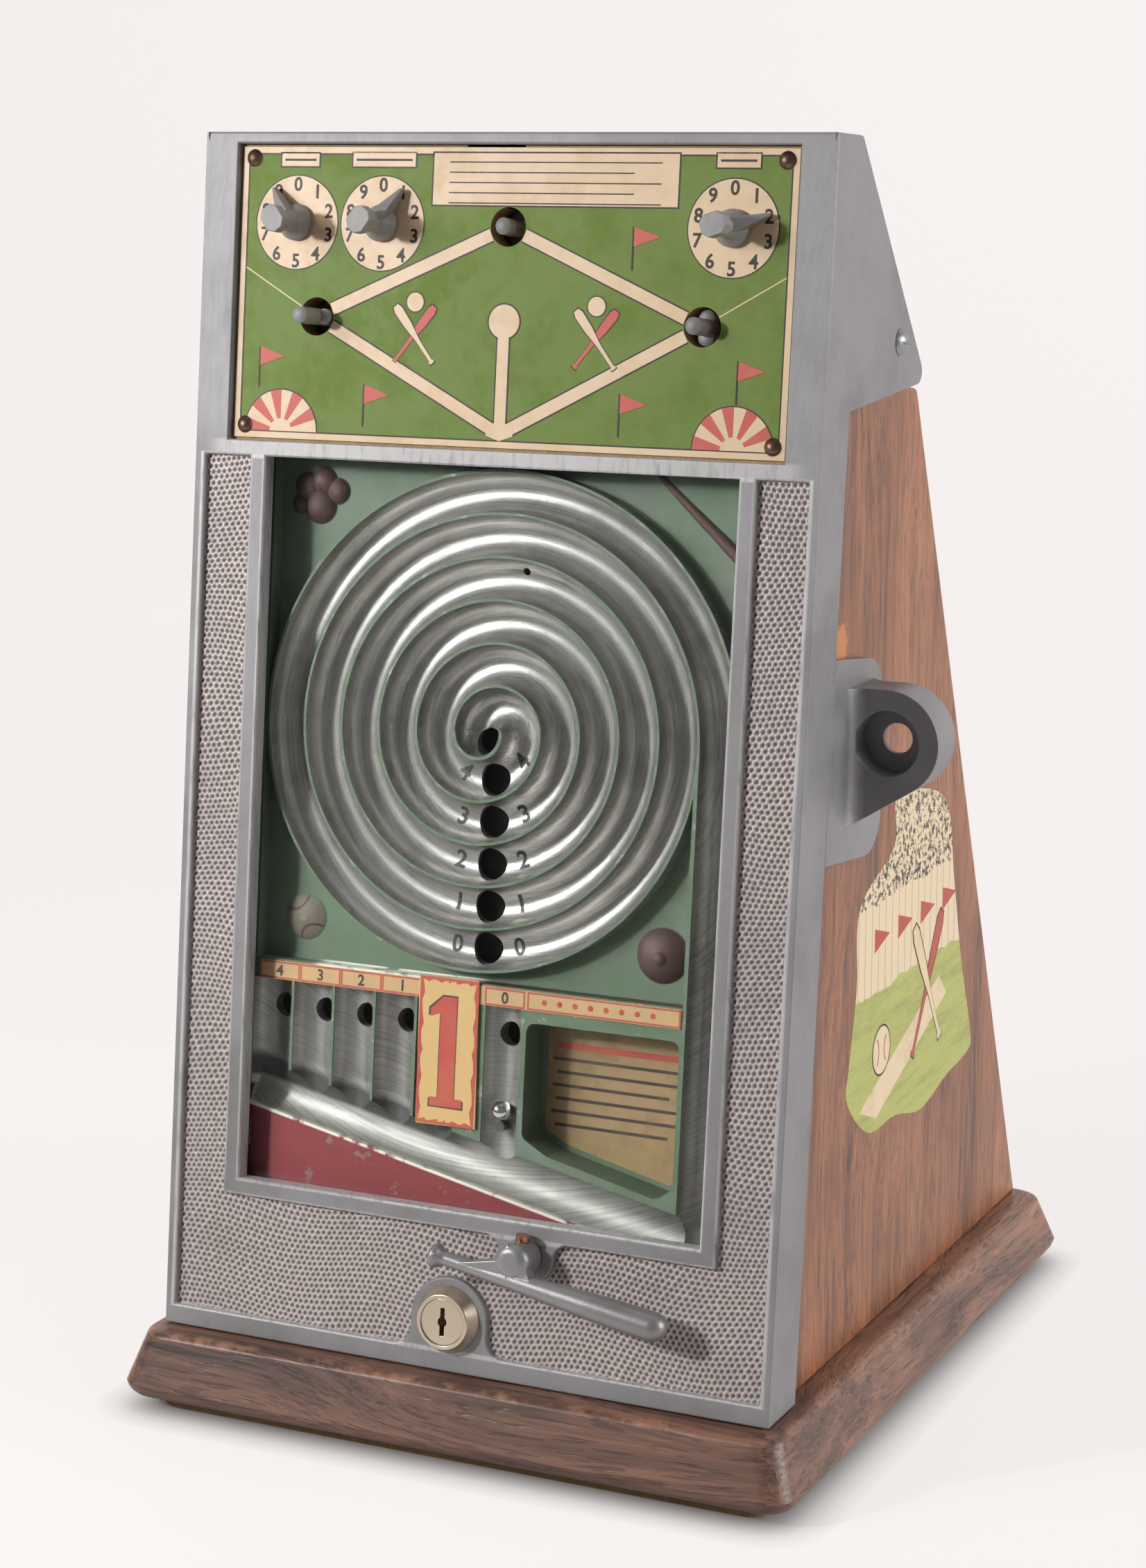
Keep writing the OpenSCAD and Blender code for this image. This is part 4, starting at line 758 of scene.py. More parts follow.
def field_finish():
    """Playfield: green on the crests, bare metal in the grooves, brown reliefs, red below the ramp."""
    tint = look("field")
    material, tree, bsdf, place = finish("playfield_casting")
    face = use(tree, face_effect(), Vector=place)
    across, depth, height = face["Across"], face["Depth"], face["Height"]
    ramp_line = minus(tree, RAMP_HEIGHT, times(tree, across, RAMP_SLOPE))
    above = minus(tree, height, ramp_line)
    painted = crest_paint(tree, place, depth)
    pocket = pocket_paint(tree, across, height, above)
    corner = corners(tree, across, height, 0.0)
    streak = groove_streaks(tree, across, height)
    soot = blotches(tree, place, 30.0, 0.4, 0.7)
    # painted shade in the trough above the ramp, and the smear beside the pin hole
    shade_and_smear = trough_shade_and_smear(tree, across, height, above)
    dark = times(tree, plus(tree, step(tree, streak, 0.42, 0.66), soot), 0.42)
    bright = blend(tree, dark, tint.metal, tint.soot)
    metal = blend(tree, times(tree, shade_and_smear, 0.92), bright, tint.shadow)
    green = blend(tree, times(tree, soot, 0.4), tint.green, tint.soot)
    shade = blend(tree, painted, metal, green)
    shade = blend(tree, largest(tree, pocket, corner), shade, green)
    below_ramp = times(tree, step(tree, above, 0.0, -1.0), step(tree, across, RED_RIGHT, RED_RIGHT - 5.0))
    shade = blend(tree, times(tree, painted, below_ramp), shade, tint.red)
    relief = times(
        tree, corners(tree, across, height, RELIEF_INSET),
        step(tree, depth, CREST_DEPTH + SUNK - 0.2, CREST_DEPTH + SUNK - 0.5),
        step(tree, unsigned(tree, across), RELIEF_LIMIT, RELIEF_LIMIT - 0.3))
    shade = blend(tree, relief, shade, relief_paint(tree, across, height, tint))
    shade = blend(tree, field_wear(tree, place, across, height, above), shade, tint.worn)
    covered = largest(tree, painted, pocket, corner, shade_and_smear)
    on_ramp = times(tree, step(tree, above, -9.0, -8.0), step(tree, above, 12.0, 9.0))
    dull = largest(tree, covered, times(tree, on_ramp, 0.6))
    polish = plus(tree, times(tree, streak, 0.16), 0.22)
    feed_all(tree, bsdf, {
        "Base Color": shade,
        "Metallic": minus(tree, 0.75, times(tree, covered, 0.75)),
        "Roughness": plus(tree, polish, times(tree, dull, 0.35)),
    })
    bump(tree, bsdf, plus(tree, streak, noise(tree, place, 900.0)), 0.0001, 0.5)
    return material


# Heights and lines of the picture on the side, in metres
GRASS_TOP = BASE_HIGH.z + 0.112
FENCE_TOP = BASE_HIGH.z + 0.142
SOFT_LINE = 0.0006
BOARDS_PER_METRE = 160.0


def side_picture():
    """Picture on the side: speckled stands, board fence and mown grass, cut by wavy lines."""
    tint = look("prints")
    cream, green = tint.picture_cream, tint.picture_green
    material, tree, bsdf, place = finish("side_picture")
    _, back, up = split(tree, place)
    height = plus(tree, up, times(tree, minus(tree, noise(tree, place, 45.0), 0.5), 0.01))
    stands = blend(tree, blotches(tree, place, 520.0, 0.5, 0.54), cream, tint.ink)
    board = calc(tree, "FRACT", times(tree, back, BOARDS_PER_METRE))
    fence = blend(tree, times(tree, step(tree, board, 0.9, 0.97), 0.6), cream, tint.ink)
    mown = blotches(tree, stretch(tree, place, 1.0, 0.3, 2.5), 90.0, 0.4, 0.7)
    grass = blend(tree, mown, green, darker(green, 0.7))
    lower = blend(tree, step(tree, height, GRASS_TOP, GRASS_TOP + SOFT_LINE), grass, fence)
    shade = blend(tree, step(tree, height, FENCE_TOP, FENCE_TOP + SOFT_LINE), lower, stands)
    worn = times(tree, blotches(tree, stretch(tree, place, 1.0, 1.0, 0.25), 150.0, 0.62, 0.68), 0.7)
    feed_all(tree, bsdf, {"Base Color": blend(tree, worn, shade, look("wood").middle), "Roughness": 0.42})
    return material


# Mesh helpers
SHARP = math.radians(28)
SMOOTH_BELOW = math.radians(38)
FLAT = math.radians(0.5)
WELD = 2e-6

# Arrises of the casting that stay sharp: by the coin slot, and behind the front
SLOT_REACH = 4.0
FRONT_DEPTH = 2.6


def stand(name, data):
    """A new object in the scene."""
    thing = bpy.data.objects.new(name, data)
    bpy.context.scene.collection.objects.link(thing)
    return thing


def made(name, shape):
    """A new mesh from a finished bmesh, which is freed."""
    mesh = bpy.data.meshes.new(name)
    shape.to_mesh(mesh)
    shape.free()
    return mesh


def piece(name, mesh, material, body, replaced=()):
    """Places a finished mesh with its material, rides it on its body and hides the nodes it stands for."""
    thing = stand(name, mesh)
    mesh.materials.clear()
    mesh.materials.append(material)
    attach(thing, body)
    if replaced:
        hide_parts(*replaced)
    return thing


def smooth(mesh):
    """Smooth shading up to a sharp angle."""
    mesh.shade_smooth()
    mesh.set_sharp_from_angle(angle=SMOOTH_BELOW)


def proud(edge):
    """Whether an arris stands out, as worn ones do."""
    return edge.is_convex


def outside(edge):
    """Whether an arris of the casting lies on its front or outer sides, away from the coin slot."""
    for vertex in edge.verts:
        across, depth, height = face_place(vertex.co)
        in_slot = abs(across) < SLOT_REACH and height > PLATE_HIGH.z
        if in_slot or (depth > FRONT_DEPTH and abs(across) < CASTING_HIGH.x - 0.1):
            return False
    return True


def rounded(node, width, material, chosen=None):
    """A copy of a node with its arrises, or the chosen ones, rounded, which stands for the node."""
    shape = bmesh.new()
    shape.from_mesh(NODES[node].data)
    bmesh.ops.remove_doubles(shape, verts=shape.verts, dist=WELD)
    bmesh.ops.dissolve_limit(shape, angle_limit=FLAT, verts=shape.verts, edges=shape.edges)
    surface = BVHTree.FromBMesh(shape)
    arrises = [edge for edge in shape.edges if edge.is_manifold and edge.calc_face_angle(0) > SHARP]
    if chosen:
        arrises = [edge for edge in arrises if chosen(edge)]
    bmesh.ops.bevel(
        shape, geom=arrises, offset=width, segments=2, profile=0.5, affect="EDGES", clamp_overlap=False)
    for vertex in shape.verts:
        near, _, _, away = surface.find_nearest(vertex.co)
        if away > width:
            vertex.co = near
    mesh = made(node + "_rounded", shape)
    smooth(mesh)
    thing = piece(node + "_rounded", mesh, material, BODY_OF[node], (node,))
    thing.modifiers.new("flat faces stay flat", "WEIGHTED_NORMAL").keep_sharp = True


def dress(material, *nodes):
    """Gives nodes that keep their own shape a finish."""
    for node in nodes:
        mesh = NODES[node].data
        mesh.materials.clear()
        mesh.materials.append(material)


def prisms(name, loops, place, low, high):
    """A mesh of thin closed prisms, one on each loop of points, that stand from low to high."""
    shape = bmesh.new()
    for loop in loops:
        front = [shape.verts.new(place(a, b, high)) for a, b in loop]
        back = [shape.verts.new(place(a, b, low)) for a, b in loop]
        shape.faces.new(front)
        shape.faces.new(back[::-1])
        for i in range(len(loop)):
            j = (i + 1) % len(loop)
            shape.faces.new((front[j], front[i], back[i], back[j]))
    bmesh.ops.recalc_face_normals(shape, faces=shape.faces)
    return made(name, shape)


def disc(centre, radius, count=56):
    """A round loop."""
    turns = [2 * math.pi * i / count for i in range(count)]
    return [(centre[0] + radius * math.cos(a), centre[1] + radius * math.sin(a)) for a in turns]


def fan(centre, inner, outer, start, end, count=20):
    """A loop round part of a ring, between two angles in degrees."""
    turns = [math.radians(start + (end - start) * i / count) for i in range(count + 1)]
    arc = [(centre[0] + outer * math.cos(a), centre[1] + outer * math.sin(a)) for a in turns]
    back = [(centre[0] + inner * math.cos(a), centre[1] + inner * math.sin(a)) for a in turns[::-1]]
    return arc + (back if inner > 0 else [tuple(centre)])


def box_loop(left, right, low, high):
    """A rectangular loop."""
    return [(left, low), (right, low), (right, high), (left, high)]


def ring_box(left, right, low, high, width):
    """Four mitred strips round a rectangle, inside it."""
    outer = box_loop(left, right, low, high)
    inner = box_loop(left + width, right - width, low + width, high - width)
    return [[outer[i], outer[(i + 1) % 4], inner[(i + 1) % 4], inner[i]] for i in range(4)]


def stroke(start, end, width, trim_start=0.0, trim_end=0.0):
    """A straight bar between two points, with its ends trimmed."""
    a, b = Vector(start), Vector(end)
    along = (b - a).normalized()
    side = Vector((-along.y, along.x)) * width / 2
    a, b = a + along * trim_start, b - along * trim_end
    return [tuple(a + side), tuple(a - side), tuple(b - side), tuple(b + side)]


def bat_loop(centre, turn, reach, thick):
    """A bat seen flat, turned by degrees about its middle."""
    profile = [(-1.0, 0.55), (-0.94, 0.62), (-0.9, 0.34), (-0.2, 0.42), (0.35, 0.9), (0.85, 1.0),
               (1.0, 0.6)]
    upper = [(reach * x, thick * y) for x, y in profile]
    points = upper + [(x, -y) for x, y in upper[::-1]]
    cosine, sine = math.cos(math.radians(turn)), math.sin(math.radians(turn))
    return [(centre[0] + x * cosine - y * sine, centre[1] + x * sine + y * cosine) for x, y in points]


# Height of the font's numerals as a share of its size, and how much bolder they are made
NUMERAL_SHARE = 0.72
BOLDER = 0.035


def numeral_mesh(text, height, thickness):
    """The closed mesh of a plain numeral, upright in its own XY plane and centred."""
    curve = bpy.data.curves.new("numeral", "FONT")
    curve.body = text
    curve.size = height / NUMERAL_SHARE
    curve.extrude = thickness / 2
    curve.offset = height * BOLDER
    curve.resolution_u = 4
    carrier = stand("numeral", curve)
    seen = carrier.evaluated_get(bpy.context.evaluated_depsgraph_get())
    mesh = bpy.data.meshes.new_from_object(seen)
    bpy.data.objects.remove(carrier)
    xs = [vertex.co.x for vertex in mesh.vertices]
    ys = [vertex.co.y for vertex in mesh.vertices]
    mesh.transform(Matrix.Translation((-(min(xs) + max(xs)) / 2, -(min(ys) + max(ys)) / 2, 0)))
    return mesh


def numerals(name, marks, height, thickness, depth):
    """One mesh of plain numerals, each (text, across, height, turn), standing on the face at a depth."""
    shape = bmesh.new()
    upright = Matrix.Rotation(math.pi / 2, 4, "X")
    for text, u, v, turn in marks:
        mesh = numeral_mesh(text, height, thickness)
        leaned = FACE.to_3x3().to_4x4() @ Matrix.Rotation(-turn, 4, "Y") @ upright
        mesh.transform(Matrix.Translation(on_face(u, v, depth)) @ leaned)
        shape.from_mesh(mesh)
        bpy.data.meshes.remove(mesh)
    return made(name, shape)


def on_plate(depth):
    """A place function for prints on a surface of the door at a depth, in millimetres."""
    def place(u, v, rise):
        return on_face(u, v, depth - rise)
    return place


# Each level of print rises by this share of a layer
LEVEL_RISE = 0.5


class Printer:
    """Prints layers of thin loops on one surface of a body."""

    def __init__(self, prefix, place, slot, body="door"):
        self.prefix = prefix
        self.place = place
        self.slot = slot
        self.body = body
        self.thick = look("prints").layer / MM

    def layer(self, name, loops, material, level):
        """Prints loops as one piece on a level, 0 being next to the surface."""
        low = level * self.thick * LEVEL_RISE
        title = self.prefix + "_" + name
        mesh = prisms(title, loops, self.place, low, low + self.thick)
        piece(title, mesh, material, self.body)

    def digits(self, name, marks, height, material, level, depth):
        """Prints numerals as one piece on a level of a surface of the door at a depth."""
        rise = level * self.thick * LEVEL_RISE + self.thick / 2
        title = self.prefix + "_" + name
        mesh = numerals(title, marks, height * MM, self.thick * MM, depth - rise)
        piece(title, mesh, material, self.body)


# Pits of the grained panels: looseness, squash and width, and the gap and back of their block
PIT_JITTER = 0.12
PIT_SQUASH = 0.86
PIT_WIDTH = 0.42
PANEL_GAP = 0.06
PANEL_BACK = 0.2


def hash_unit(a, b, seed):
    """Steady values from 0 to 1 that depend on two lattice numbers."""
    mixed = np.sin(a * 127.1 + b * 311.7 + seed * 74.7) * 43758.5453
    return mixed - np.floor(mixed)


def pit_distance(u, v, pitch):
    """Distance to the nearest pit of a loosely packed lattice."""
    row_step = pitch * math.sqrt(3) / 2
    row0 = np.round(v / row_step)
    best = np.full(u.shape, 1e9)
    for d_row in (-1, 0, 1):
        row = row0 + d_row
        shift = 0.5 * np.mod(row, 2)
        column0 = np.round(u / pitch - shift)
        for d_column in (-1, 0, 1):
            column = column0 + d_column
            jitter_u = (hash_unit(column, row, 1) - 0.5) * PIT_JITTER
            jitter_v = (hash_unit(column, row, 2) - 0.5) * PIT_JITTER
            pit_u = (column + shift + jitter_u) * pitch
            pit_v = row * row_step + jitter_v * pitch
            best = np.minimum(best, np.hypot(u - pit_u, (v - pit_v) * PIT_SQUASH))
    return best


def wavy(along, across, reach, wave, drift):
    """Coordinates swayed by a slow wave, so that rows of pits aren't straight."""
    return along + reach * np.sin(across / wave + np.sin(along / drift))


def grained_block(shape, left, right, low, high, tint):
    """A closed block of grained panel: a pitted front on a flat back."""
    step_mm = tint.grain_step / MM
    columns = max(2, round((right - left) / step_mm))
    rows = max(2, round((high - low) / step_mm))
    us = np.linspace(left, right, columns + 1)
    vs = np.linspace(low, high, rows + 1)
    grid_u, grid_v = np.meshgrid(us, vs)
    pitch = tint.grain_pitch / MM
    wavy_u = wavy(grid_u, grid_v, reach=1.3, wave=9.0, drift=14.0)
    wavy_v = wavy(grid_v, grid_u, reach=1.6, wave=11.0, drift=16.0)
    away = pit_distance(wavy_u, wavy_v, pitch)
    pit = np.exp(-(away / (PIT_WIDTH * pitch)) ** 2)
    floor = tint.recess / MM
    depth = floor - PANEL_GAP - tint.grain_depth / MM * (1 - pit)
    front = [[shape.verts.new(on_face(grid_u[r, c], grid_v[r, c], depth[r, c])) for c in range(columns + 1)]
             for r in range(rows + 1)]
    for r in range(rows):
        for c in range(columns):
            shape.faces.new((front[r][c], front[r][c + 1], front[r + 1][c + 1], front[r + 1][c]))
    rim = [front[0][c] for c in range(columns)] + [front[r][columns] for r in range(rows)]
    rim += [front[rows][c] for c in range(columns, 0, -1)] + [front[r][0] for r in range(rows, 0, -1)]
    back = []
    for vertex in rim:
        u, _, v = face_place(vertex.co)
        back.append(shape.verts.new(on_face(u, v, floor + PANEL_BACK)))
    for i in range(len(rim)):
        j = (i + 1) % len(rim)
        shape.faces.new((rim[j], rim[i], back[i], back[j]))
    shape.faces.new(back[::-1])


def smooth_loop(points, count):
    """A closed loop rounded through its points."""
    result = []
    size = len(points)
    for i in range(size):
        p0, p1, p2, p3 = (Vector(points[(i + k) % size]) for k in (-1, 0, 1, 2))
        for j in range(count):
            t = j / count
            result.append(tuple(0.5 * (2 * p1 + (p2 - p0) * t + (2 * p0 - 5 * p1 + 4 * p2 - p3) * t * t
                                       + (3 * p1 - p0 - 3 * p2 + p3) * t ** 3)))
    return result


# Operators, one for each piece or group of like pieces
class GAME_OT_casting(bpy.types.Operator):
    """Front casting with rounded arrises and pitted panels"""
    bl_idname = "game.casting"
    bl_label = "Front Casting"

    def execute(self, context):
        tint = look("metal")
        metal = cast_metal("front_casting", tint.casting, 0.58, rubbed=rubbed_edge_highlights)
        rounded("front_casting", tint.edge, metal, chosen=outside)
        half, bead = panel_half(tint), tint.bead / MM
        opening, foot, top = window_opening(tint)
        inner, shoulder = opening + bead, foot - bead
        shape = bmesh.new()
        grained_block(shape, -half, half, tint.foot_rim / MM, shoulder, tint)
        grained_block(shape, -half, -inner, shoulder, top, tint)
        grained_block(shape, inner, half, shoulder, top, tint)
        mesh = made("grained_panels", shape)
        smooth(mesh)
        piece("grained_panels", mesh, panel_metal(), "door")
        return {"FINISHED"}


class GAME_OT_cabinet(bpy.types.Operator):
    """Wooden cabinet, base and anchor lug"""
    bl_idname = "game.cabinet"
    bl_label = "Cabinet"

    def execute(self, context):
        wood, metal = look("wood"), look("metal")
        side = oak("oak_side", wood.light, wood.middle, wood.dark, wood.bare, along_height, worn_side)
        base = oak("oak_base", wood.base_light, wood.base_middle, wood.base_dark, wood.base_bare,
                   along_moulding, worn_base)
        rounded("left_side", wood.edge, side)
        rounded("right_side", wood.edge, side)
        rounded("base_moulding", wood.edge, base)
        lug_metal = cast_metal("anchor_lug", metal.casting, 0.5)
        rounded("anchor_lug", metal.small_edge * 0.6, lug_metal, chosen=proud)
        dress(plain_wood(), "bottom_board", "back_panel", "back_cleats", "hinge_rail", "score_board")
        return {"FINISHED"}


class GAME_OT_picture(bpy.types.Operator):
    """Transfer picture on the right side"""
    bl_idname = "game.picture"
    bl_label = "Side Picture"

    outline = [(116, 174), (113, 158), (82, 144), (80, 118), (74, 94), (73, 82), (93, 67), (118, 66),
               (144, 61), (170, 66), (193, 69), (195, 76), (183, 105), (174, 134), (162, 165)]
    path = [(84, 76), (100, 70), (168, 96), (160, 104)]
    ball = (104, 92)
    crossing = (148, 104)
    hoists = [96 + 22 * i for i in range(4)]

    def place(self, a, b, rise):
        """A point on the wood from its distance behind the face, its height over the base and its rise."""
        return Vector((WOOD_X + rise * MM, FACE_FOOT + a * MM, BASE_HIGH.z + b * MM))

    def execute(self, context):
        tint = look("prints")
        mesh = prisms("side_picture", [smooth_loop(self.outline, 6)], self.place, 0.0, tint.layer / MM)
        piece("side_picture", mesh, side_picture(), "cabinet")
        ink = paint("picture_ink", tint.ink, tint.red, 0.2)
        red = paint("picture_red", tint.red, tint.cream, 0.2)
        cream = paint("picture_cream", tint.picture_cream, tint.yellow, 0.3)
        x, y = self.ball
        seams = [fan((x + off, y), 6.2, 6.9, turn - 42, turn + 42) for off, turn in ((-9, 0), (9, 180))]
        printer = Printer("picture", self.place, "printed_plate", "cabinet")
        printer.layer("path", [self.path], cream, 1)
        printer.layer("bats_edge", [bat_loop(self.crossing, 58, 26.6, 3.7)], ink, 2)
        printer.layer("bat_one", [bat_loop(self.crossing, 58, 26, 3.0)], red, 3)
        printer.layer("bats_edge_two", [bat_loop(self.crossing, 122, 26.6, 3.7)], ink, 4)
        printer.layer("bat_two", [bat_loop(self.crossing, 122, 26, 3.0)], cream, 5)
        printer.layer("ball_edge", [disc(self.ball, 8.6)], ink, 2)
        printer.layer("ball", [disc(self.ball, 7.9)], cream, 3)
        printer.layer("ball_seam", seams, red, 4)
        printer.layer("pennants", [[(a, 134), (a, 126), (a + 14, 130)] for a in self.hoists], red, 2)
        return {"FINISHED"}


class GAME_OT_plate(bpy.types.Operator):
    """Printed score plate with dials, paths and plain motifs"""
    bl_idname = "game.plate"
    bl_label = "Score Plate"

    stain = (0.55, 0.36, 0.2, 1.0)
    boxes = [(-81, -66.6, 375.9, 380.8), (-55.4, -32.4, 375.9, 381), (-26.9, 56.5, 364.4, 381.1),
             (67.7, 82.5, 376.2, 381.2)]
    home_plate = [(-4.6, 3.4), (-4.6, -0.4), (0, -2.0), (4.6, -0.4), (4.6, 3.4)]
    mound_radius = 5.2
    base_clearance = 6.1
    bat_spots = [(-31, 325), (31, 325)]
    poles = [(-86, 307), (78, 307), (-48, 296), (40, 296), (42, 346)]

    def execute(self, context):
        tint = look("prints")
        dress(paint("plate_green", tint.green, darker(tint.green, 0.78), 0.4, 0.6, 50.0), "score_plate")
        cream = paint("plate_cream", tint.cream, self.stain, 0.22, 0.45)
        ink = paint("plate_ink", tint.ink, tint.cream, 0.05)
        red = paint("plate_red", tint.red, tint.cream, 0.2)
        printer = Printer("plate", on_plate(PLATE_LOW.y), "printed_plate")
        line = tint.outline / MM
        left, right, low, high = PLATE_LOW.x, PLATE_HIGH.x, PLATE_LOW.z, PLATE_HIGH.z
        printer.layer("border", ring_box(left + 0.1, right - 0.1, low + 0.1, high - 0.1, 1.9), cream, 1)
        printer.layer("border_line", ring_box(left + 2.0, right - 2.0, low + 2.0, high - 2.0, line), ink, 1)
        self.dials(printer, cream, ink, tint)
        self.diamond(printer, cream, ink, tint)
        self.ruled_boxes(printer, cream, ink, line)
        self.motifs(printer, cream, ink, red)
        return {"FINISHED"}

    def dials(self, printer, cream, ink, tint):
        """Three dials with the numerals 0 to 9."""
        centres = [(dial.x, dial.z) for dial in DIALS]
        radius, line = tint.dial / MM, tint.outline / MM
        printer.layer("dial_edges", [disc(c, radius) for c in centres], ink, 1)
        printer.layer("dials", [disc(c, radius - line * 0.8) for c in centres], cream, 2)
        ring = radius * 0.8
        marks = []
        for c in centres:
            for digit in range(10):
                turn = math.radians(36 * digit)
                marks.append((str(digit), c[0] + ring * math.sin(turn), c[1] + ring * math.cos(turn), 0.0))
        printer.digits("dial_numerals", marks, tint.digit / MM, ink, 3, PLATE_LOW.y)

    def diamond(self, printer, cream, ink, tint):
        """Base paths, mound, home plate and foul lines."""
        third, second, first = [(base.x, base.z) for base in BASES]
        home = (0.5 * (third[0] + first[0]), PLATE_LOW.z + 4.2)
        mound = (home[0], 0.5 * (third[1] + first[1]))
        width, line, clear = tint.path / MM, tint.outline / MM, self.base_clearance
        edge_width = width + 2 * line
        paths = [(home, first, 2.0, clear), (first, second, clear, clear), (second, third, clear, clear),
                 (third, home, clear, 2.0)]
        printer.layer("path_edges", [stroke(a, b, edge_width, s, e) for a, b, s, e in paths], ink, 1)
        printer.layer("paths", [stroke(a, b, width, s, e) for a, b, s, e in paths], cream, 2)
        stem, stem_edge = [stroke(home, mound, wide, 2.0, 4.6) for wide in (width, edge_width)]
        printer.layer("mound_edge", [disc(mound, self.mound_radius + line), stem_edge], ink, 1)
        printer.layer("mound", [disc(mound, self.mound_radius)], cream, 2)
        printer.layer("home_plate", [[(home[0] + x, home[1] + y) for x, y in self.home_plate]], cream, 4)
        printer.layer("stem", [stem], cream, 3)
        ends = [(third, (PLATE_LOW.x + 2.4, third[1] + 15)), (first, (PLATE_HIGH.x - 2.4, first[1] + 15))]
        printer.layer("foul_lines", [stroke(base, end, 0.4, clear) for base, end in ends], cream, 1)

    def ruled_boxes(self, printer, cream, ink, line):
        """Boxes with ruled lines over the dials and between them."""
        printer.layer("box_edges", [box_loop(*box) for box in self.boxes], ink, 1)
        inset = [box_loop(a + line, b - line, c + line, d - line) for a, b, c, d in self.boxes]
        printer.layer("boxes", inset, cream, 2)
        rules = []
        for a, b, c, d in self.boxes[:2] + self.boxes[3:]:
            middle = 0.5 * (c + d)
            rules.append(box_loop(a + 1.6, b - 1.6, middle - 0.35, middle + 0.35))
        a, b, _, d = self.boxes[2]
        for i in range(5):
            top = d - 3.0 - 3.1 * i
            rules.append(box_loop(a + 6, b - 6 - 9 * (i % 2), top - 0.4, top))
        printer.layer("rules", rules, ink, 3)

    def motifs(self, printer, cream, ink, red):
        """Bunting in the lower corners, crossed bats with a ball, and pennants."""
        foot = PLATE_LOW.z + 2.4
        fans = [(PLATE_LOW.x + 17, foot), (PLATE_HIGH.x - 17, foot)]
        printer.layer("bunting_edge", [fan(c, 0, 13.4, 0, 180) for c in fans], ink, 2)
        printer.layer("bunting_cream", [fan(c, 0, 13, 0, 180) for c in fans], cream, 3)
        folds = [fan(c, 4, 13, 18 + 36 * i, 36 + 36 * i) for c in fans for i in range(5)]
        printer.layer("bunting_red", folds, red, 4)
        for suffix, turn, shade, level in (("", 52, red, 1), ("_over", 128, cream, 3)):
            edges = [bat_loop(spot, turn, 11.4, 1.9) for spot in self.bat_spots]
            printer.layer("bat_edges" + suffix, edges, ink, level)
            bats = [bat_loop(spot, turn, 11, 1.5) for spot in self.bat_spots]
            printer.layer("bats" + suffix, bats, shade, level + 1)
        balls = [(u, v + 10) for u, v in self.bat_spots]
        printer.layer("ball_edges", [disc(ball, 3.3) for ball in balls], ink, 1)
        printer.layer("balls", [disc(ball, 2.9) for ball in balls], cream, 2)
        printer.layer("poles", [box_loop(u - 0.25, u + 0.25, v, v + 13) for u, v in self.poles], ink, 5)
        flags = [[(u + 0.3, v + 13), (u + 0.3, v + 7), (u + 9, v + 10)] for u, v in self.poles]
        printer.layer("flags", flags, red, 5)


class GAME_OT_knobs(bpy.types.Operator):
    """Score knobs, base pegs and nails"""
    bl_idname = "game.knobs"
    bl_label = "Knobs and Pegs"

    def execute(self, context):
        tint = look("metal")
        cast = cast_metal("die_cast", tint.knob, 0.6, 0.35)
        for node in ("left_knob", "middle_knob", "right_knob"):
            rounded(node, tint.small_edge, cast, chosen=proud)
        dress(cast, "third_peg", "second_peg", "first_peg")
        dress(plated_metal("nail_heads", tint.nail, 0.42, 0.5), "plate_nails")
        return {"FINISHED"}


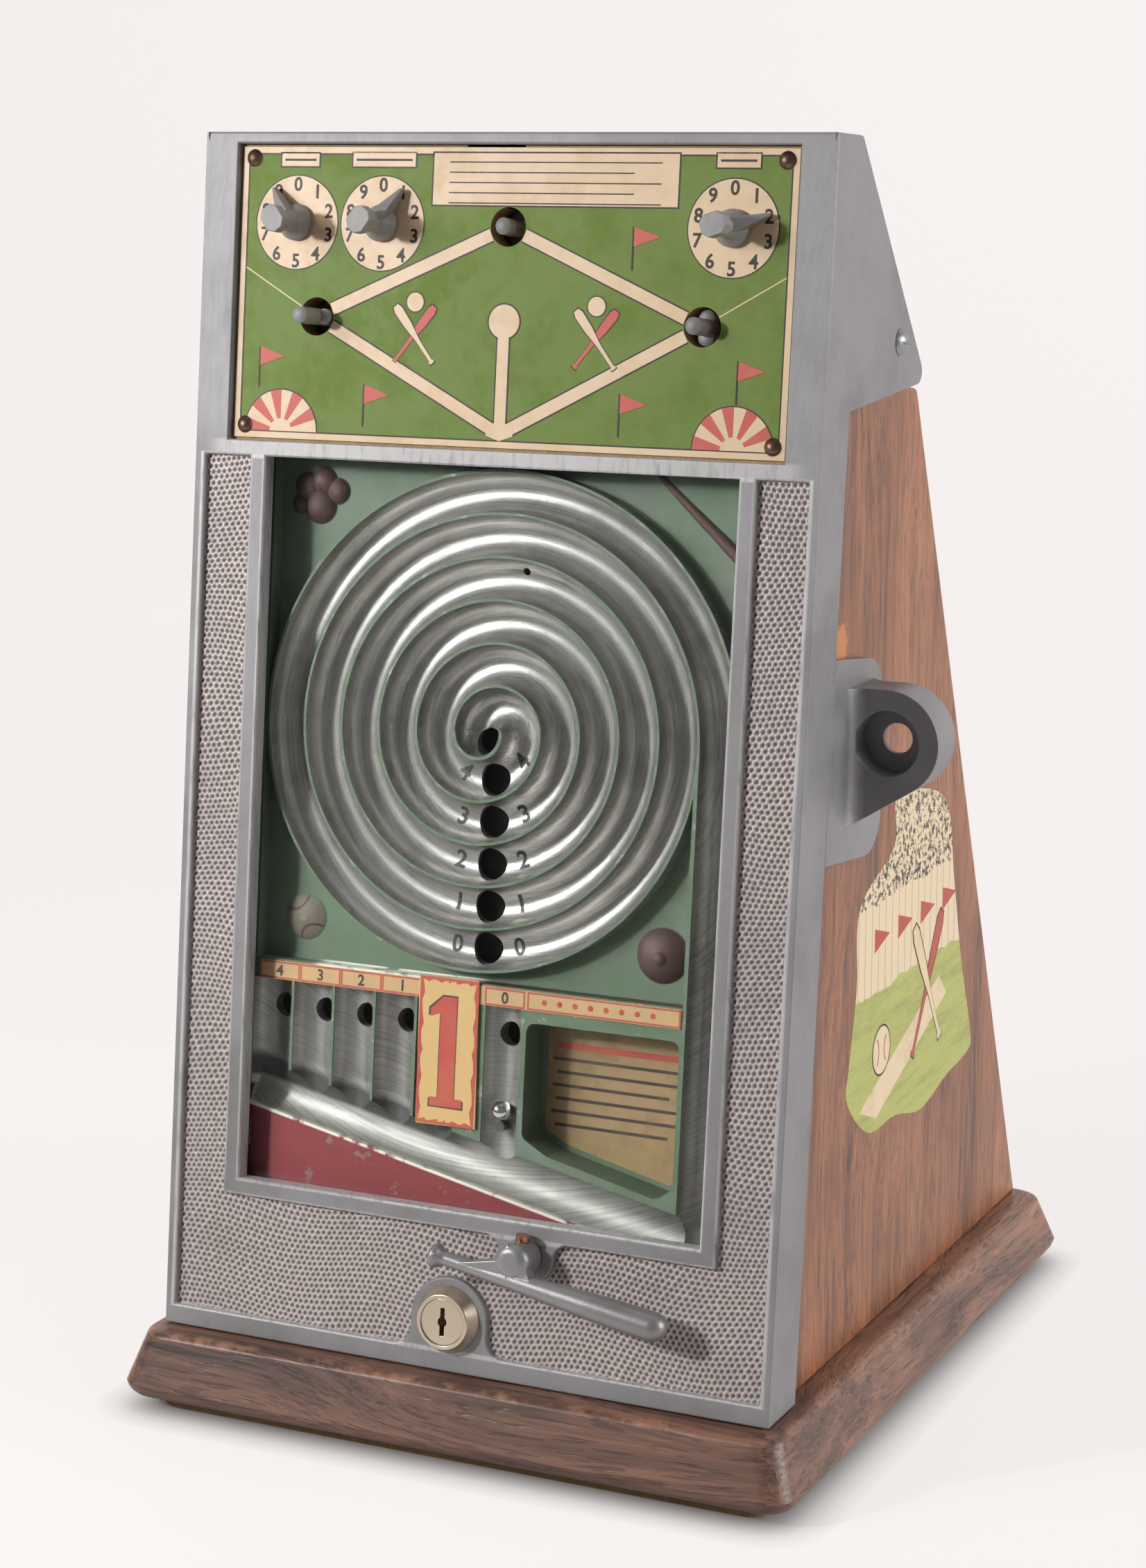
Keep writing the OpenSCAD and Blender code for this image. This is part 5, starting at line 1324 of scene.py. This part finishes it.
class GAME_OT_playfield(bpy.types.Operator):
    """Cast playfield with its label strip, cards, numerals and ball"""
    bl_idname = "game.playfield"
    bl_label = "Playfield"

    age = (0.5, 0.3, 0.12, 1.0)
    cell_pitch = 15
    right_cells = [(0.4, 14.6), (15.2, LABEL_HIGH.x)]
    border_steps = 14
    one = [(-2.0, 17.6), (-6.4, 13.4), (-6.4, 10.8), (-2.8, 12.2), (-2.8, -14.8), (-5.6, -14.8),
           (-5.6, -17.6), (5.8, -17.6), (5.8, -14.8), (2.9, -14.8), (2.9, 17.6)]

    def execute(self, context):
        tint, cards = look("field"), look("prints")
        dress(field_finish(), "playfield")
        dress(plated_metal("ball_steel", tint.ball, 0.12, 0.1), "ball")
        dress(paint("card_yellow", cards.yellow, self.age, 0.2, 0.55), "price_card")
        # the label strip and the slip are darker than the price card: painted shade
        dress(paint("label_yellow", cards.label, self.age, 0.3, 0.55), "label_strip")
        dress(paint("slip_yellow", cards.slip, cards.ink, 0.3, 0.55), "instruction_card")
        ink = paint("card_ink", cards.ink, self.age, 0.1)
        red = paint("card_red", cards.card_red, cards.yellow, 0.15)
        self.labels(ink, red)
        self.price(ink, red)
        self.slip(ink, red)
        self.track_numerals(paint("track_ink", tint.shadow, tint.soot, 0.15))
        return {"FINISHED"}

    def labels(self, ink, red):
        """Cells of the label strip with plain numerals."""
        printer = Printer("label", on_plate(LABEL_LOW.y), "card")
        low, high = LABEL_LOW.z, LABEL_HIGH.z
        starts = [LABEL_LOW.x + self.cell_pitch * i for i in range(5)]
        cells = list(zip(starts, starts[1:])) + self.right_cells
        frames = []
        for a, b in cells:
            frames += ring_box(a + 0.1, b - 0.1, low + 0.2, high - 0.2, 0.55)
        printer.layer("frames", frames, red, 0)
        middle = 0.5 * (low + high)
        marks = [(str(4 - i), 0.5 * (a + b), middle, 0.0) for i, (a, b) in enumerate(cells[:5])]
        printer.digits("numerals", marks, 3.6, ink, 0, LABEL_LOW.y)
        dots = [disc((cells[5][0] + 6 + 5.3 * i, middle), 0.9, 20) for i in range(8)]
        printer.layer("dots", dots, red, 0)

    def price(self, ink, red):
        """Ragged red border and a slab numeral on the price card."""
        printer = Printer("price", on_plate(CARD_LOW.y), "card")
        left, right, low, high = CARD_LOW.x + 0.5, CARD_HIGH.x - 0.5, CARD_LOW.z + 0.3, CARD_HIGH.z - 0.3
        u, v = 0.5 * (left + right), 0.5 * (low + high)
        outline = box_loop(left, right, low, high)
        border = []
        for a, b in zip(outline, outline[1:] + outline[:1]):
            rows = []
            for i in range(self.border_steps + 1):
                along = i / self.border_steps
                point = (a[0] + (b[0] - a[0]) * along, a[1] + (b[1] - a[1]) * along)
                wide = 1.2 + 0.5 * math.sin(2.1 * i + 0.3 * a[0])
                rows.append((point, self.inwards(point, (u, v), wide)))
            border += [[p0, p1, q1, q0] for (p0, q0), (p1, q1) in zip(rows, rows[1:])]
        printer.layer("border", border, red, 0)
        printer.layer("numeral_edge", [[(u + x * 1.1, v + y * 1.03) for x, y in self.one]], ink, 0)
        printer.layer("numeral", [[(u + x, v + y) for x, y in self.one]], red, 1)

    @staticmethod
    def inwards(point, middle, distance):
        """A point moved towards the middle on both axes, no further than the middle."""
        moved = []
        for value, centre in zip(point, middle):
            gap = centre - value
            moved.append(value + math.copysign(min(abs(gap), distance), gap))
        return tuple(moved)

    def slip(self, ink, red):
        """Ruled lines on the card in the pocket."""
        printer = Printer("slip", on_plate(SLIP_LOW.y), "card")
        left, right, high = SLIP_LOW.x + 2, SLIP_HIGH.x - 1.2, SLIP_HIGH.z
        rows = []
        for i in range(6):
            top = high - 10.2 - 4.2 * i
            rows.append(box_loop(left + 1.5 * (i % 2), right - 2.5 * (i % 3), top - 1.0, top))
        printer.layer("rows", rows, ink, 0)
        printer.layer("title", [box_loop(left + 1, right - 1, high - 7.4, high - 5.4)], red, 0)

    def track_numerals(self, ink):
        """Plain numerals stamped beside the holes of the spiral, laid on the grooves."""
        surface = BVHTree.FromObject(NODES["playfield"], bpy.context.evaluated_depsgraph_get())
        inward = FACE.to_3x3() @ Vector((0, 1, 0))
        marks = []
        for k in range(5):
            radius = FIRST_TURN + TURN_PITCH * k
            hole = math.asin(0.5 * RIM_SHIFT / radius)
            for side in (-1, 1):
                turn = hole + side * NUMERAL_ARC / radius
                u, v = -RIM_SHIFT + radius * math.sin(turn), SPIRAL_HEIGHT - radius * math.cos(turn)
                marks.append((str(4 - k), u, v, turn))
        mesh = numerals("track_numerals", marks, NUMERAL_HEIGHT * MM, NUMERAL_THICK * MM, GLASS_HIGH.y)
        shape = bmesh.new()
        shape.from_mesh(mesh)
        bmesh.ops.subdivide_edges(shape, edges=shape.edges, cuts=2, use_grid_fill=True)
        for vertex in shape.verts:
            u, depth, v = face_place(vertex.co)
            start = on_face(u, v, GLASS_HIGH.y + 0.2)
            hit = surface.ray_cast(start, inward)[0]
            if hit is None:
                raise RuntimeError("a numeral lies off the playfield")
            vertex.co = hit + inward * (depth - GLASS_HIGH.y - NUMERAL_THICK) * MM
        shape.to_mesh(mesh)
        shape.free()
        piece("track_numerals", mesh, ink, "door")


class GAME_OT_glass(bpy.types.Operator):
    """Window glass"""
    bl_idname = "game.glass"
    bl_label = "Glass"

    def execute(self, context):
        dress(clear_glass(), "window_glass")
        return {"FINISHED"}


class GAME_OT_bat(bpy.types.Operator):
    """Bat, hub screw and lock"""
    bl_idname = "game.bat"
    bl_label = "Bat and Lock"

    def execute(self, context):
        tint = look("metal")
        cast = cast_metal("bat_metal", tint.bat, 0.42, 0.6)
        rounded("bat", tint.small_edge, cast, chosen=proud)
        dress(plated_metal("screw_copper", tint.copper, 0.3, 0.4), "hub_screw")
        nickel = plated_metal("lock_nickel", tint.nickel, 0.3, 0.08)
        rounded("lock_body", tint.small_edge * 0.8, nickel)
        rounded("lock_plug", tint.small_edge * 0.4, nickel)
        return {"FINISHED"}


class GAME_OT_inside(bpy.types.Operator):
    """Finishes of the pieces inside and behind"""
    bl_idname = "game.inside"
    bl_label = "Inside"

    def execute(self, context):
        tint = look("metal")
        steel = plated_metal("plain_steel", tint.steel, 0.38, 0.4)
        brass = plated_metal("plain_brass", tint.brass, 0.34, 0.4)
        dress(steel, "base_screws", "lock_keeper", "lug_screws", "glass_clips", "field_spacers",
              "field_screws", "board_screws", "left_collar", "middle_collar", "right_collar", "peg_guides",
              "bat_shaft", "kicker_arm", "return_spring", "lock_nut", "lock_cam", "hinge_pins")
        dress(paint("gate_black", (0.03, 0.03, 0.03, 1.0), (0.1, 0.1, 0.1, 1.0)), "ball_gate")
        dress(brass, "back_screws", "bat_bush")
        dress(sheet_black(), "cash_box", "return_cover", "coin_chute")
        return {"FINISHED"}


class GAME_OT_stage(bpy.types.Operator):
    """Camera, pale paper sweep, lamps and world"""
    bl_idname = "game.stage"
    bl_label = "Stage"

    lens = 75.05
    sensor = 36.0
    eye = Vector((0.45122, -0.98917, 0.41262))
    look_down = 11.35
    swing = 25.356
    front_edge = -0.5
    sweep_radius = 0.7
    sweep_start = 1.4
    sweep_steps = 16
    paper_reach = 6.0
    glow_start = 0.3
    contact = 0.014
    aim = Vector((0, 0, 0.2))

    def execute(self, context):
        self.camera(context)
        self.paper()
        self.lamps()
        self.world(context)
        return {"FINISHED"}

    def camera(self, context):
        """The view of the photograph: an upright frame with a vertical sensor fit."""
        data = bpy.data.cameras.new("camera")
        data.sensor_fit = "VERTICAL"
        data.sensor_height = self.sensor
        data.lens = self.lens
        camera = stand("camera", data)
        camera.location = self.eye
        camera.rotation_euler = (math.radians(90 - self.look_down), 0, math.radians(self.swing))
        context.scene.camera = camera
        context.scene.view_settings.view_transform = "Standard"

    def paper(self):
        """A floor that curves up into a backdrop."""
        profile = [(self.front_edge, 0.0), (self.sweep_start, 0.0)]
        for i in range(1, self.sweep_steps + 1):
            a = math.radians(90 * i / self.sweep_steps)
            run, rise = self.sweep_radius * math.sin(a), self.sweep_radius * (1 - math.cos(a))
            profile.append((self.sweep_start + run, rise))
        profile.append((profile[-1][0], self.paper_reach))
        shape = bmesh.new()
        sides = (-self.paper_reach, self.paper_reach)
        rows = [[shape.verts.new((x, y, z)) for x in sides] for y, z in profile]
        for lower, upper in zip(rows, rows[1:]):
            shape.faces.new((lower[0], lower[1], upper[1], upper[0]))
        mesh = made("paper", shape)
        smooth(mesh)
        mesh.materials.append(self.paper_finish())
        stand("paper", mesh)

    def paper_finish(self):
        """Paper that shows its own white to the camera, metal and glass, shaded under the game."""
        tint = look("stage")
        material, tree, bsdf, place = finish("paper")
        path = add(tree, "LightPath").outputs
        seen = largest(tree, path["Is Camera Ray"], path["Is Glossy Ray"], path["Is Transmission Ray"])
        inputs = {"Value": split(tree, place)[1], "From Min": self.glow_start,
                  "From Max": self.sweep_start + self.sweep_radius,
                  "To Min": tint.floor_glow, "To Max": tint.wall_glow}
        glow = add(tree, "MapRange", inputs).outputs["Result"]
        # painted contact shadow: the paper's own glow fades near the game by ambient occlusion
        open_sky = add(tree, "AmbientOcclusion", {"Distance": self.contact}, samples=8).outputs["AO"]
        feed_all(tree, bsdf, {
            "Base Color": tint.floor_shade,
            "Roughness": 0.75,
            "Emission Color": tint.floor,
            "Emission Strength": times(tree, seen, times(tree, open_sky, glow)),
        })
        return material

    def lamps(self):
        """A key lamp and a broad fill high on the left, a lamp behind on the right and a soft top lamp."""
        tint = look("stage")
        plan = [("key", (-0.56, -0.83, 0.55), 0.07, tint.key), ("fill", (-1.0, -0.9, 0.8), 0.6, tint.fill),
                ("side", (1.9, 0.15, 0.75), 0.9, tint.side), ("top", (0.1, 0.2, 1.9), 1.2, tint.top)]
        for name, place, size, watts in plan:
            data = bpy.data.lights.new(name, "AREA")
            data.shape = "SQUARE"
            data.size = size
            data.energy = watts
            lamp = stand(name, data)
            lamp.location = place
            lamp.visible_glossy = name != "fill"
            lamp.rotation_euler = (Vector(place) - self.aim).to_track_quat("Z", "Y").to_euler()

    def world(self, context):
        """An even pale surrounding."""
        tint = look("stage")
        world = bpy.data.worlds.new("white room")
        world.use_nodes = True
        context.scene.world = world
        background = world.node_tree.nodes["Background"]
        background.inputs["Color"].default_value = tint.floor
        background.inputs["Strength"].default_value = tint.world


OPERATORS = (GAME_OT_stage, GAME_OT_cabinet, GAME_OT_picture, GAME_OT_casting, GAME_OT_plate, GAME_OT_knobs,
             GAME_OT_playfield, GAME_OT_glass, GAME_OT_bat, GAME_OT_inside)


class GAME_PT_panel(bpy.types.Panel):
    """Lists the pieces and their looks"""
    bl_idname = "GAME_PT_panel"
    bl_label = "Baseball Game"
    bl_space_type = "VIEW_3D"
    bl_region_type = "UI"
    bl_category = "Baseball Game"

    def draw(self, context):
        for operator in OPERATORS:
            self.layout.operator(operator.bl_idname)
        for name, group in LOOKS.items():
            box = self.layout.box()
            box.label(text=name.title())
            for key in group.__annotations__:
                box.prop(group_of(name), key)


CLASSES = tuple(LOOKS.values()) + OPERATORS + (GAME_PT_panel,)


def register():
    for cls in CLASSES:
        bpy.utils.register_class(cls)
    for name, group in LOOKS.items():
        setattr(bpy.types.Scene, "game_" + name, PointerProperty(type=group))


def unregister():
    for name in LOOKS:
        delattr(bpy.types.Scene, "game_" + name)
    for cls in reversed(CLASSES):
        bpy.utils.unregister_class(cls)


def main():
    """Builds every piece in order."""
    register()
    for operator in OPERATORS:
        getattr(bpy.ops.game, operator.bl_idname.split(".")[1])()


if __name__ == "__main__":
    main()
